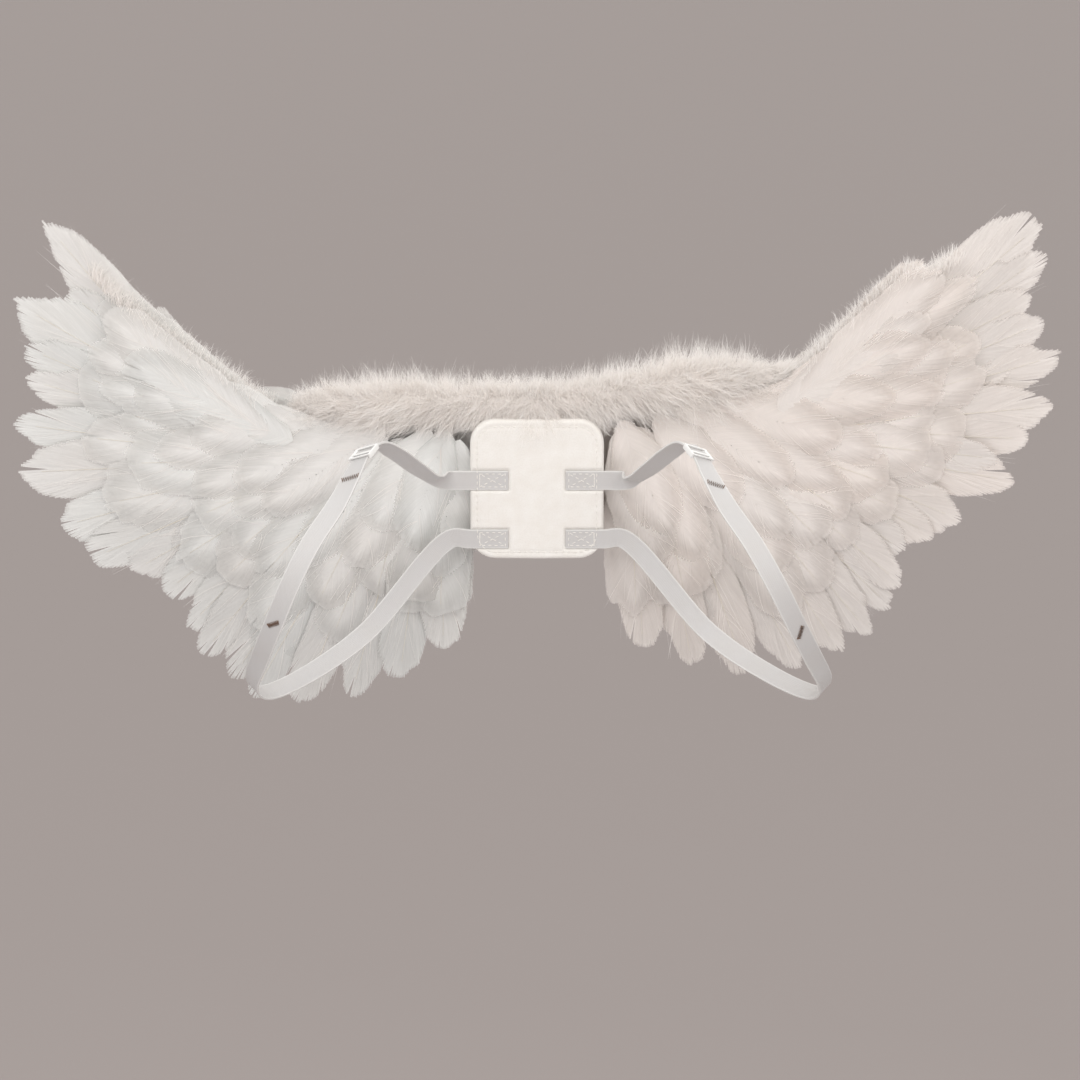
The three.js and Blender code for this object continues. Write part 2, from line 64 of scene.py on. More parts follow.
# shader work: a wire is a socket that can stand in a sum, a finish is one material's tree
class Wire:
    def __init__(self, finish, socket):
        self.finish = finish
        self.socket = socket

    def math(self, operation, *others):
        return self.finish.add("ShaderNodeMath", {"operation": operation}, dict(enumerate((self, *others))))

    def __add__(self, other):
        return self.math("ADD", other)

    def __radd__(self, other):
        return self.math("ADD", other)

    def __mul__(self, other):
        return self.math("MULTIPLY", other)

    def __rmul__(self, other):
        return self.math("MULTIPLY", other)

    def __sub__(self, other):
        return self.math("SUBTRACT", other)

    def __rsub__(self, other):
        return self * -1 + other

    def __truediv__(self, other):
        return self.math("DIVIDE", other)

    def __pow__(self, other):
        return self.math("POWER", other)

    def between(self, low, high):  # 0 at low, 1 at high
        return ((self - low) / (high - low)).math("MAXIMUM", 0.0).math("MINIMUM", 1.0)


class Finish:
    def __init__(self, name):
        self.material = bpy.data.materials.new(name)
        self.material.use_nodes = True
        self.tree = self.material.node_tree
        self.tree.nodes.clear()

    def add(self, kind, settings=None, sockets=None, out=0):
        made = self.tree.nodes.new(kind)
        for name, value in (settings or {}).items():
            if name == "stops":
                while len(made.color_ramp.elements) < len(value):
                    made.color_ramp.elements.new(0.5)
                for element, (place, colour) in zip(made.color_ramp.elements, value):
                    element.position = place
                    element.color = (*colour, 1)
            else:
                setattr(made, name, value)
        for key, value in (sockets or {}).items():
            if isinstance(value, Wire):
                self.tree.links.new(value.socket, made.inputs[key])
            else:
                made.inputs[key].default_value = value
        return Wire(self, made.outputs[out]) if made.outputs else None

    def uv(self, across, along):  # the piece's own UV map, which is in metres, stretched
        where = self.add("ShaderNodeUVMap", {"uv_map": "UVMap"})
        return self.add("ShaderNodeVectorMath", {"operation": "MULTIPLY"}, {0: where, 1: (across, along, 0)})

    def place(self, scale):  # object coordinates, stretched
        where = self.add("ShaderNodeTexCoord", out=3)
        return self.add("ShaderNodeVectorMath", {"operation": "MULTIPLY"}, {0: where, 1: (scale, scale, scale)})

    def value(self, name):
        return self.add("ShaderNodeAttribute", {"attribute_name": name}, out=2)

    def noise(self, where, scale=1.0, detail=2.0, roughness=0.5):
        sockets = {"Vector": where, "Scale": scale, "Detail": detail, "Roughness": roughness}
        return self.add("ShaderNodeTexNoise", {}, sockets)

    def mix(self, factor, first, second, blend="MIX"):
        return self.add("ShaderNodeMix", {"data_type": "RGBA", "blend_type": blend},
                        {0: factor, 6: colour(first), 7: colour(second)}, out=2)

    def bump(self, height, strength, distance):
        return self.add("ShaderNodeBump", {}, {"Strength": strength, "Distance": distance, "Height": height})

    def skin(self, sockets):
        return self.add("ShaderNodeBsdfPrincipled", {}, sockets)

    def close(self, shader):
        self.add("ShaderNodeOutputMaterial", {}, {"Surface": shader})
        return self.material


def colour(value):
    return value if isinstance(value, Wire) else (*value, 1)


def featherVane():
    look = Finish("feather_vane")
    tone = look.value("tone")
    reach = look.value("reach")
    broad = look.noise(look.uv(190, 14), detail=3)
    fine = look.noise(look.uv(900, 40), detail=3, roughness=0.7)
    patches = look.noise(look.place(24), detail=2)
    warm = look.mix(tone.between(0.0, 0.5), (0.95, 0.88, 0.835), (0.94, 0.905, 0.88))
    white = look.mix(tone.between(0.5, 1.0), warm, (0.905, 0.915, 0.90))
    stained = look.mix(patches.between(0.5, 0.75) * 0.25, white, (0.91, 0.87, 0.82))
    # painted shade: the vane's colour grows darker towards the bottom of the wings, where less light falls on them
    height = look.add("ShaderNodeSeparateXYZ", {}, {"Vector": look.place(1)}, out=2)
    low = 1 - height.between(-0.15, 0.0)
    # painted light: feathers of the inner layers, by their lift value, are painted lighter to make up for the shade
    # among the layers; the same value keeps their tips from fraying
    inner = look.value("lift")
    # the multiplier below mixes the barb streaks with this painted shade and the painted light of the inner layers
    streaks_and_painted_shading = broad * 0.09 + fine * 0.24 + inner * 0.08 + 0.71 - low * 0.24
    streaks_and_painted_shading_grey = look.add("ShaderNodeCombineColor", {}, {0: streaks_and_painted_shading, 1: streaks_and_painted_shading, 2: streaks_and_painted_shading})
    streaked_with_painted_shading = look.mix(1.0, stained, streaks_and_painted_shading_grey, "MULTIPLY")
    barbs = broad * 0.5 + fine * 0.5
    fray = look.noise(look.uv(2100, 50), detail=2)
    torn = reach.between(0.88, 1.02) * (1 - inner)
    whole = (1 - torn * 0.6 + (fray - 0.5) * 1.8 * torn).between(0.0, 0.8)
    alpha = whole * (1 - look.value("soft"))
    skin = look.skin({
        "Base Color": streaked_with_painted_shading, "Roughness": 0.55, "Sheen Weight": 0.2, "Sheen Roughness": 0.5,
        "Alpha": alpha, "Normal": look.bump(barbs, 0.55, 0.0006),
    })
    through = look.add("ShaderNodeBsdfTranslucent", {}, {"Color": (0.92, 0.89, 0.86, 1)})
    clear = look.add("ShaderNodeBsdfTransparent")
    seen = look.add("ShaderNodeMixShader", {}, {0: alpha, 1: clear, 2: through})
    return look.close(look.add("ShaderNodeMixShader", {}, {0: 0.12, 1: skin, 2: seen}))


def featherQuill():
    look = Finish("feather_quill")
    rings = look.noise(look.place(400), detail=2)
    along = look.value("along")
    ivory = look.mix(along.between(0.2, 0.8), (0.80, 0.70, 0.50), (0.88, 0.84, 0.77))
    spotted = look.mix(rings.between(0.4, 0.8) * 0.3, ivory, (0.72, 0.60, 0.40))
    skin = look.skin({"Base Color": spotted, "Roughness": rings * 0.2 + 0.3, "Normal": look.bump(rings, 0.2, 0.0002)})
    return look.close(skin)


def marabouDown():
    look = Finish("marabou_down")
    reach = look.value("reach")
    tone = look.value("tone")
    patches = look.noise(look.place(45), detail=2)
    white = look.mix(tone, (0.97, 0.94, 0.92), (0.965, 0.95, 0.94))
    # painted shade: the strands are painted a little darker and warmer towards their roots, deep in the down, and the
    # core, with no reach value, takes this root colour
    root = look.mix(reach.between(0.0, 0.5), (0.96, 0.92, 0.895), white)
    toned = look.mix(patches.between(0.5, 0.8) * 0.3, root, (0.95, 0.895, 0.855))
    skin = look.skin({"Base Color": toned, "Roughness": 0.85, "Sheen Weight": 0.5, "Sheen Roughness": 0.4})
    through = look.add("ShaderNodeBsdfTranslucent", {}, {"Color": (0.95, 0.92, 0.89, 1)})
    return look.close(look.add("ShaderNodeMixShader", {}, {0: 0.42, 1: skin, 2: through}))


finishes = {"vane": featherVane(), "quill": featherQuill(), "down": marabouDown()}
print("feather finishes made")


# many small blades go into one mesh: a pile collects their points and four-sided faces
class Pile:
    def __init__(self):
        self.parts = []
        self.count = 0

    def add(self, points, faces, uv, values, material=0):
        self.parts.append((points, faces + self.count, uv, values, np.full(len(faces), material)))
        self.count += len(points)

    def build(self, name, materials):
        points = np.concatenate([p[0] for p in self.parts])
        faces = np.concatenate([p[1] for p in self.parts])
        uv = np.concatenate([p[2] for p in self.parts])
        kinds = np.concatenate([p[4] for p in self.parts])
        mesh = bpy.data.meshes.new(name)
        mesh.vertices.add(len(points))
        mesh.vertices.foreach_set("co", (points * mm).ravel())
        mesh.loops.add(faces.size)
        mesh.loops.foreach_set("vertex_index", faces.ravel().astype(np.int32))
        mesh.polygons.add(len(faces))
        mesh.polygons.foreach_set("loop_start", np.arange(0, faces.size, 4, dtype=np.int32))
        mesh.polygons.foreach_set("material_index", kinds.astype(np.int32))
        mesh.polygons.foreach_set("use_smooth", np.ones(len(faces), bool))
        mesh.update(calc_edges=True)
        mesh.uv_layers.new(name="UVMap").data.foreach_set("uv", (uv[faces.ravel()] * mm).ravel())
        values = np.concatenate([p[3] for p in self.parts])
        for key, column in zip(("tone", "reach", "along", "soft", "lift"), values.T):
            mesh.attributes.new(key, "FLOAT", "POINT").data.foreach_set("value", column.astype(np.float32))
        piece = bpy.data.objects.new(name, mesh)
        bpy.context.scene.collection.objects.link(piece)
        for material in materials:
            mesh.materials.append(material)
        print(f"{name}: {2 * len(faces)} triangles")
        return piece


def ribbonFaces(blades, rows):  # blade by blade, row by row, right edge then left edge
    first = (np.arange(blades)[:, None] * rows + np.arange(rows - 1)[None, :]).ravel() * 2
    return np.stack([first, first + 2, first + 3, first + 1], 1)


def settle(piece, slot, *nodes):
    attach(piece, "root")
    if nodes:
        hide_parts(*nodes)
    return piece


def smoothStep(low, high, x):
    t = np.clip((x - low) / (high - low), 0, 1)
    return t * t * (3 - 2 * t)


# a feather lies along a, with b across it and c towards the viewer of its own face
featherLook = {
    "clumps": 78, "rows": (0, 0.2, 0.42, 0.66, 0.86, 1), "thin": (0.8, 1, 1, 1, 1, 0.9),
    "bare": 0.02, "narrow": 0.42, "fullAt": 0.42, "tipFrom": (0.64, 0.84), "tipPower": (1.6, 2.2),
    "barbRoot": 0.85, "barbPower": 1.6, "split": 0.007, "ragged": 0.06, "camber": 0.06, "wave": 0.9,
    # lift: how much lighter the vane is painted to make up for the shade among inner layers; it also keeps the tips
    # from fraying
    "clumpTilt": 0.06, "strays": 10, "quill": 0.35, "melt": 0.0, "lift": 0.0,
}


def vaneBlades(length, width, side, look, rand):
    e = np.linspace(look["bare"] + 0.05, 1, 200)
    tipFrom = rand.uniform(*look["tipFrom"]) + look.get("tips", 0)
    tipPower = rand.uniform(*look["tipPower"])
    full = look["narrow"] + (1 - look["narrow"]) * smoothStep(0, look["fullAt"], e)
    tip = (1 - np.clip((e - tipFrom) / (1 - tipFrom), 0, 1) ** tipPower) ** (1 / tipPower)
    edgeA = e * length
    edgeB = full * tip * width / 2
    arc = np.concatenate([[0], np.cumsum(np.hypot(np.diff(edgeA), np.diff(edgeB)))])
    n = look["clumps"]
    t = ((np.arange(n) + 0.5 + rand.uniform(-0.25, 0.25, n)) / n) ** 0.88
    push = np.zeros(n)
    for _ in range(rand.integers(2, 5)):  # where the vane has come apart
        place = rand.uniform(0.4, 1.0)
        gap = look["split"] * rand.uniform(0.2, 1.4) * (0.12 + 0.88 * smoothStep(0.65, 0.95, place))
        push += gap * np.sign(t - place) * np.exp(-abs(t - place) / rand.uniform(0.02, 0.07))
    end = np.clip(t + push, 0, 1) * arc[-1]
    slow = np.interp(t, np.linspace(0, 1, 19), rand.normal(0, 1, 19))
    sway = np.interp(t, np.linspace(0, 1, 7), rand.normal(0, 1, 7))
    ragged = look["ragged"] * (0.25 + 0.75 * smoothStep(0.6, 0.95, t))
    far = 1 + ragged * (0.9 * slow + rand.uniform(-0.25, 0.2, n))
    rootA = length * (look["bare"] + (look["barbRoot"] - look["bare"]) * t ** look["barbPower"])
    endA = rootA + (np.interp(end, arc, edgeA) - rootA) * far
    endB = np.interp(end, arc, edgeB) * far
    v = np.array(look["rows"])[None, :]
    bendA = rootA + (0.38 + 0.05 * sway) * (endA - rootA)
    bendB = (0.6 + 0.06 * sway) * endB
    a = ((1 - v) ** 2 * rootA[:, None] + 2 * v * (1 - v) * bendA[:, None] + v ** 2 * endA[:, None])
    b = (2 * v * (1 - v) * bendB[:, None] + v ** 2 * endB[:, None]) * side
    da = 2 * (1 - v) * (bendA - rootA)[:, None] + 2 * v * (endA - bendA)[:, None]
    db = (2 * (1 - v) * bendB[:, None] + 2 * v * (endB - bendB)[:, None]) * side
    size = np.hypot(da, db) + 1e-6
    apart = np.abs(np.gradient(a, axis=0) * db - np.gradient(b, axis=0) * da) / size
    apart = np.clip(apart, 0.3, 1.9 * np.median(apart, axis=0)[None, :])
    half = apart * 0.85 * np.array(look["thin"]) * rand.uniform(0.85, 1.2, n)[:, None]
    edge = np.array([-1, 1])[None, None, :]
    pa = a[:, :, None] - edge * (db / size * half)[:, :, None]
    pb = b[:, :, None] + edge * (da / size * half)[:, :, None]
    lift = (look["clumpTilt"] * (1 + rand.uniform(-0.8, 0.8, n)))[:, None] * np.minimum(v * 2, 1)
    pc = edge * lift[:, :, None] * side + (rand.uniform(-0.12, 0.12, n)[:, None] * v)[:, :, None]
    long = np.hypot(endA - rootA, endB)
    u = np.broadcast_to((t * arc[-1])[:, None, None] + edge * half[:, :, None], pa.shape)
    w = np.broadcast_to((v * long[:, None])[:, :, None], pa.shape)
    reach = np.broadcast_to(v[:, :, None], pa.shape)
    # ends that thin out over the next row
    melt = look["melt"] * (0.5 + 0.5 * smoothStep(0.3, 0.8, t))[:, None] * smoothStep(0.35, 1.0, v)
    soft = np.broadcast_to(melt[:, :, None], pa.shape)
    return [x.reshape(-1) for x in (pa, pb, pc, u, w, reach, soft)], ribbonFaces(n, len(look["rows"]))


def strayBlades(length, width, look, rand):  # loose curled barbs that lie over the vane
    n = look["strays"]
    t = rand.uniform(0.1, 0.85, n)
    side = rand.choice([-1, 1], n)
    rootA = t * length * 0.95
    reachB = side * width / 2 * rand.uniform(0.35, 1.08, n) * (1 - np.clip((t - 0.7) / 0.3, 0, 1) * 0.6)
    endA = np.minimum(rootA + length * rand.uniform(0.35, 0.75, n), length * 0.95)
    bendA = rootA + rand.uniform(0.3, 0.6, n) * (endA - rootA)
    bendB = reachB * rand.uniform(0.45, 0.95, n)
    v = np.array([0, 0.2, 0.4, 0.6, 0.8, 1.0])[None, :]
    a = (1 - v) ** 2 * rootA[:, None] + 2 * v * (1 - v) * bendA[:, None] + v ** 2 * endA[:, None]
    b = 2 * v * (1 - v) * bendB[:, None] + v ** 2 * reachB[:, None]
    c = 0.3 + v * (1 - v) * 4 * rand.uniform(0.1, 0.9, n)[:, None]
    da, db = np.gradient(a, axis=1), np.gradient(b, axis=1)
    size = np.hypot(da, db) + 1e-6
    half = rand.uniform(0.06, 0.16, n)[:, None] * np.array([1, 1.2, 1.1, 0.9, 0.6, 0.15])[None, :]
    edge = np.array([-1, 1])[None, None, :]
    pa = a[:, :, None] - edge * (db / size * half)[:, :, None]
    pb = b[:, :, None] + edge * (da / size * half)[:, :, None]
    pc = np.broadcast_to(c[:, :, None], pa.shape)
    u = np.broadcast_to(rootA[:, None, None] + edge * half[:, :, None], pa.shape)
    w = np.broadcast_to((v * 20)[:, :, None], pa.shape)
    reach = np.broadcast_to((v * 0.6)[:, :, None], pa.shape)
    return [x.reshape(-1) for x in (pa, pb, pc, u, w, reach, reach * 0)], ribbonFaces(n, 6)


def quillTube(length, look):
    rows = 11
    s = np.linspace(-0.02, 0.93, rows)
    radius = look["quill"] * (1 - np.clip(s, 0, 1)) ** 0.9 + 0.12
    turn = np.array([0.25, 0.75, 1.25, 1.75]) * math.pi
    pa = np.repeat((s * length)[:, None], 4, 1)
    pb = radius[:, None] * np.cos(turn)[None, :]
    pc = 0.25 + radius[:, None] * np.sin(turn)[None, :] * 0.8
    here = (np.arange(rows - 1)[:, None] * 4 + np.arange(4)[None, :]).ravel()
    beside = (np.arange(rows - 1)[:, None] * 4 + (np.arange(4)[None, :] + 1) % 4).ravel()
    faces = np.stack([here, beside, beside + 4, here + 4], 1)
    zero = np.zeros(rows * 4)
    return [pa.ravel(), pb.ravel(), pc.ravel(), pa.ravel(), zero, zero, zero], faces


# the wings: angle above level, share of the longest, share of the widest, curl
wings = {
    "left": {
        "side": -1, "armTop": (47, 42.5), "root": (14.1, 20.2), "tones": (0.7, 1), "tips": 0.06, "covertTurn": -6,
        "band": [(152, 26, 20, 120, 34, 0.10), (168, 29, 31, 128, 33, 0.10)],
        "feathers": [
            (31.5, 1.02, 0.82, 0.2), (30, 0.86, 0.82, 0.09), (25, 0.97, 1.06, 0.05), (19, 0.9, 0.66, 0.03),
            (14.5, 0.87, 0.76, 0), (4, 0.88, 0.86, 0.02), (-6, 0.88, 1.02, 0.02), (-17, 0.84, 0.84, 0),
            (-25, 0.82, 0.82, 0), (-31, 0.75, 0.86, 0), (-38, 0.73, 0.82, 0), (-45, 0.78, 0.76, -0.02),
            (-50, 0.84, 0.76, -0.02), (-57, 0.87, 0.7, 0), (-61, 0.9, 0.66, 0), (-68, 0.86, 0.76, 0),
            (-75, 0.8, 0.76, 0), (-82, 0.72, 0.76, 0), (-89, 0.62, 0.72, 0),
        ],
    },
    "right": {
        "side": 1, "armTop": (47, 63), "root": (30.1, 24), "tones": (0, 0.3), "tips": 0.0, "covertTurn": 3,
        "band": [(150, 46, 30, 112, 34, 0.04), (165, 54, 40, 120, 32, 0.03)],
        "feathers": [
            (46, 0.68, 0.7, 0.06), (34.5, 1.02, 1.14, 0.06), (30.5, 0.97, 0.86, 0.04), (25.5, 0.88, 0.9, 0.02),
            (19.5, 0.89, 0.8, 0.03), (12, 0.9, 0.86, 0.03), (4, 0.86, 0.9, 0), (-3, 0.8, 0.8, 0),
            (-8, 0.72, 0.7, 0), (-13.5, 0.8, 0.8, 0.02), (-23.5, 0.72, 0.8, 0), (-29, 0.69, 0.76, 0),
            (-35, 0.66, 0.76, 0), (-40.5, 0.74, 0.76, 0), (-45, 0.79, 0.76, 0), (-50.5, 0.82, 0.8, 0),
            (-56, 0.82, 0.76, 0), (-63, 0.82, 0.76, 0), (-71, 0.78, 0.76, 0), (-79, 0.72, 0.76, 0),
            (-87, 0.64, 0.72, 0),
        ],
    },
}
wingSizes = {
    "sweep": 0.12, "longest": 210, "widest": 40, "rootOut": 150, "rootIn": 50, "wristOut": 160,
    "panelHalf": 42,
}


def rowDepth(place):
    return 6.3 + place * 5.1


def armTop(wing, out):
    low, high = wing["armTop"]
    return low + (high - low) * out / wingSizes["wristOut"]


def featherRoot(wing, angle):
    inwards = max(0, -angle / 95) ** 1.3
    out = wingSizes["rootOut"] + (wingSizes["rootIn"] - wingSizes["rootOut"]) * inwards
    return out, wing["root"][0] + (wing["root"][1] - wing["root"][0]) * inwards


def addFeather(pile, wing, root, angle, length, width, curl, depth, facing, rand, **changes):
    look = {**featherLook, "tips": wing["tips"], **changes}
    turn = math.radians(angle)
    ahead = np.array([math.cos(turn), math.sin(turn)])
    aside = np.array([-math.sin(turn), math.cos(turn)])
    tone = rand.uniform(*wing["tones"])
    bow = rand.normal(0, look.get("bow", 1.2))  # the tip bends to the front or the rear
    twist = rand.normal(0, 0.03)
    phase, waves = rand.uniform(0, 2 * math.pi, 2), rand.uniform(1.2, 2.6)
    lean = look.get("lean", 3.2) / width  # the upper edge lies over the neighbour
    parts = [(*vaneBlades(length, width, side, look, rand), 0) for side in (-1, 1)]
    if look["strays"]:
        parts.append((*strayBlades(length, width, look, rand), 2))
    if look["quill"]:
        parts.append((*quillTube(length, look), 1))
    for (a, b, c, u, w, reach, soft), faces, material in parts:
        s = a / length
        spread = np.abs(b) / (width / 2)
        c = c - look["camber"] * width / 2 * spread ** 2
        ripple = np.sin(2 * math.pi * waves * s + phase[(b > 0).astype(int)])
        c = c + look["wave"] * spread * ripple * np.clip(s * 1.5, 0, 1)
        c = c + bow * s ** 2.5 + twist * b * s
        offset = curl * length * s ** 2
        slant = 2 * curl * s
        size = np.sqrt(1 + slant ** 2)
        acrossX = (aside[0] - ahead[0] * slant) / size
        acrossZ = (aside[1] - ahead[1] * slant) / size
        out = root[0] + ahead[0] * a + aside[0] * offset + acrossX * b
        high = root[1] + ahead[1] * a + aside[1] * offset + acrossZ * b
        deep = depth + facing * (c + lean * b)
        x = wing["side"] * out
        y = deep + wingSizes["sweep"] * out
        points = np.stack([x, y, high], 1)
        if wing["side"] * facing > 0:
            faces = faces[:, ::-1]
        values = np.stack([np.full(len(a), tone), reach, s, soft, np.full(len(a), look["lift"])], 1)
        shift = rand.uniform(0, 900)
        pile.add(points, faces, np.stack([u + shift, w], 1), values, material)


def longFeathers(wing, share, every, jitter, rand, start):
    own = wing["feathers"][start::every]
    for i, (angle, long, wide, curl) in enumerate(own):
        after = own[min(i + 1, len(own) - 1)]
        if share < 1:
            angle = (angle + after[0]) / 2 + rand.normal(0, jitter)
            long = min(long, after[1]) * share * (1 + rand.normal(0, 0.03))
            curl *= share
        breadth = wide * math.sqrt(every) ** 0.5 * wingSizes["widest"]
        yield featherRoot(wing, angle), angle, long * wingSizes["longest"], breadth, curl


def plumage(name, wing, layers, rand, node):
    pile = Pile()
    facing = layers[0]["facing"]
    for layer in layers:
        stray = 1.6  # degrees that a feather turns from its place
        row = longFeathers(wing, layer["share"], layer.get("every", 1), stray, rand, layer.get("start", 0))
        for root, angle, long, wide, curl in row:
            addFeather(pile, wing, root, angle, long, wide * layer.get("wide", 1), curl, layer["depth"], facing, rand,
                       **layer.get("look", {}))
    piece = pile.build(name, [finishes["vane"], finishes["quill"], finishes["down"]])
    return settle(piece, "feather", node)


shortLook = {
    "clumps": 46, "rows": (0, 0.3, 0.6, 0.85, 1), "thin": (0.8, 1, 1, 1, 0.8), "strays": 7, "quill": 0, "narrow": 0.3,
    "barbPower": 1.9, "barbRoot": 0.84, "tipFrom": (0.5, 0.68), "split": 0.004, "ragged": 0.04, "bow": 0.4, "wave": 0.35,
    # lift 1.0: these inner feathers are painted lighter to make up for the shade among the layers
    "melt": 0.7, "lift": 1.0, "lean": 1.6,
}


def covertPlumage(name, wing, layers, facing, rand, node):  # short feathers that fan out from below the arm's top
    pile = Pile()
    for layer in layers:
        count = layer["count"]
        for i in range(count):
            inwards = (i + rand.uniform(-0.25, 0.25)) / (count - 1)
            inwards = min(max(inwards, 0), 1)
            out = layer["out"][0] + (layer["out"][1] - layer["out"][0]) * inwards
            angle = layer["angle"][0] + (layer["angle"][1] - layer["angle"][0]) * inwards + rand.normal(0, 2.0)
            angle += wing["covertTurn"] * (1 - inwards)
            long = layer["long"] * (1.1 - 0.28 * inwards) * (1 + rand.normal(0, 0.05))
            root = (out, armTop(wing, out) - layer["drop"])
            addFeather(pile, wing, root, angle, long, layer["wide"] * (1 + rand.normal(0, 0.06)), rand.normal(0, 0.03),
                       layer["depth"], facing, rand, **{**shortLook, **layer.get("look", {})})
    if facing < 0:  # long feathers that lie over the others along the leading edge
        for out, high, angle, long, wide, curl in wing["band"]:
            addFeather(pile, wing, (out, high), angle, long, wide, curl, layers[-1]["depth"] - 0.6, facing, rand,
                       bow=0.3, lean=2, strays=12, melt=0.5, quill=0, lift=0.9)
    piece = pile.build(name, [finishes["vane"], finishes["quill"], finishes["down"]])
    return settle(piece, "feather", node)


frontCoverts = [
    {"count": 8, "out": (158, 48), "angle": (32, -78), "long": 122, "wide": 36, "drop": 14, "depth": 5.6},
    {"count": 6, "out": (146, 52), "angle": (16, -70), "long": 96, "wide": 36, "drop": 8, "depth": 4.0},
]
rearCoverts = [
    {"count": 15, "out": (158, 8), "angle": (24, -89), "long": 94, "wide": 36, "drop": 14, "depth": rowDepth(3)},
    {"count": 15, "out": (150, 6), "angle": (16, -89), "long": 70, "wide": 34, "drop": 10, "depth": rowDepth(3) + 2},
    {"count": 13, "out": (150, 8), "angle": (12, -86), "long": 52, "wide": 32, "drop": 6, "depth": rowDepth(3) + 3.6},
]

for name, wing in wings.items():
    rand = np.random.default_rng(11 if name == "left" else 23)
    plumage(f"{name}_primary_plumage", wing, [
        {"share": 1, "facing": -1, "depth": rowDepth(1) + 1.8},
        {"share": 0.82, "facing": -1, "depth": rowDepth(1) + 4.0, "wide": 0.9,
         "look": {"clumps": 56, "strays": 6, "melt": 0.3, "lift": 0.5}},
    ], rand, f"{name}_primary_feathers")
    plumage(f"{name}_secondary_plumage", wing, [
        {"share": 0.80, "every": 2, "wide": 1.1, "facing": -1, "depth": rowDepth(0) + 3.6,
         "look": {"melt": 0.55, "bow": 0.5, "lean": 2, "lift": 0.8}},
        {"share": 0.64, "every": 2, "start": 1, "wide": 1.1, "facing": -1, "depth": rowDepth(0) + 1.2,
         "look": {"melt": 0.65, "bow": 0.4, "lean": 1.6, "quill": 0.2, "lift": 1}},
    ], rand, f"{name}_secondary_feathers")
    plumage(f"{name}_rear_secondary_plumage", wing, [
        {"share": 0.82, "facing": 1, "depth": rowDepth(2) + 1.0, "look": {"clumps": 50, "strays": 6}},
        {"share": 0.68, "every": 2, "wide": 1.1, "facing": 1, "depth": rowDepth(2) + 3.2,
         "look": {"clumps": 50, "strays": 6}},
    ], rand, f"{name}_rear_secondary_feathers")
    covertPlumage(f"{name}_covert_plumage", wing, frontCoverts, -1, rand, f"{name}_covert_feathers")
    covertPlumage(f"{name}_rear_covert_plumage", wing, rearCoverts, 1, rand, f"{name}_rear_covert_feathers")
print("feathers laid")


# short down along the upper edge of each wing, out from the wrist; points are out, depth and height
edgeDown = {
    "left": {"line": [(166, 32, 45), (192, 35, 64), (218, 38, 82), (244, 41, 100), (264, 44, 117), (278, 46, 132)],
             "strands": 2600, "long": (4, 11), "lean": 0.5},
    "right": {"line": [(152, 30, 74), (167, 32, 74), (179, 34, 88), (197, 36, 103), (214, 38, 121), (233, 40, 135),
                       (247, 42, 133), (263, 44, 142)], "strands": 2400, "long": (2, 9), "lean": 0.8},
}


def leadingDown(name, rand):
    edge = edgeDown[name]
    side = wings[name]["side"]
    line = np.array(edge["line"], float)
    n = edge["strands"]
    place = np.sort(rand.uniform(0, len(line) - 1.001, n))
    i = place.astype(int)
    w = (place - i)[:, None]
    spot = line[i] * (1 - w) + line[i + 1] * w
    way = line[i + 1] - line[i]
    way /= np.linalg.norm(way, axis=1)[:, None]
    up = np.stack([-way[:, 2], np.zeros(n), way[:, 0]], 1)
    group = np.repeat(rand.normal(0, 0.6, (n // 9 + 1, 3)), 9, axis=0)[:n]
    long = rand.uniform(*edge["long"], n) * (0.85 + 0.15 * group[:, 0])
    start = spot - up * rand.uniform(2, 6, n)[:, None] + rand.normal(0, 1, (n, 3)) * np.array([1, 4.5, 1])
    ahead = up + way * (edge["lean"] + 0.45 * group[:, 1] + rand.normal(0, 0.25, n))[:, None]
    ahead[:, 1] += 0.5 * group[:, 2] + rand.normal(0, 0.3, n)
    ahead /= np.linalg.norm(ahead, axis=1)[:, None]
    finish = start + ahead * (long + 4)[:, None]
    bend = rand.normal(0, 0.9, (n, 3)) + way * 1.2
    v = np.array([0, 0.35, 0.7, 1.0])
    strand = start[:, None] + (finish - start)[:, None] * v[None, :, None] + bend[:, None] * (4 * v * (1 - v))[None, :, None]
    across = np.cross(ahead, np.array([0, -1, 0]) + rand.normal(0, 0.5, (n, 3)))
    across /= np.linalg.norm(across, axis=1)[:, None] + 1e-9
    half = rand.uniform(0.07, 0.16, n)[:, None] * np.array([1.2, 1, 0.7, 0.15])[None, :]
    ends = np.array([-1, 1])
    points = strand[:, :, None, :] + across[:, None, None, :] * (half[:, :, None] * ends)[:, :, :, None]
    points[..., 0] *= side
    uv = np.stack([np.broadcast_to(np.arange(n)[:, None, None] * 1.3 + ends * 0.1, (n, 4, 2)).ravel(),
                   np.broadcast_to(v[None, :, None] * 10, (n, 4, 2)).ravel()], 1)
    values = np.zeros((n * 8, 5))
    values[:, 0] = np.repeat(rand.uniform(0, 1, n), 8)
    values[:, 1] = np.broadcast_to(v[None, :, None], (n, 4, 2)).ravel()
    pile = Pile()
    pile.add(points.reshape(-1, 3), ribbonFaces(n, 4), uv, values)
    return settle(pile.build(f"{name}_edge_down", [finishes["down"]]), "down")


for name in wings:
    leadingDown(name, np.random.default_rng(53 if name == "left" else 59))
print("leading edges finished")


# marabou: tufts of fine down stand on a soft core that runs over both arms and behind the neck
boaSizes = {
    "half": 152, "depth": 13.8, "above": 3, "coreShare": 0.62, "low": 14, "peak": 8, "peakOut": 98, "peakWide": 34,
    "tufts": 1900, "strands": 17, "fineness": 0.095,
}


def boaMiddle(x):
    wing = wings["left"] if x < 0 else wings["right"]
    return np.array([x, boaSizes["depth"] + wingSizes["sweep"] * abs(x), armTop(wing, abs(x)) + boaSizes["above"]])


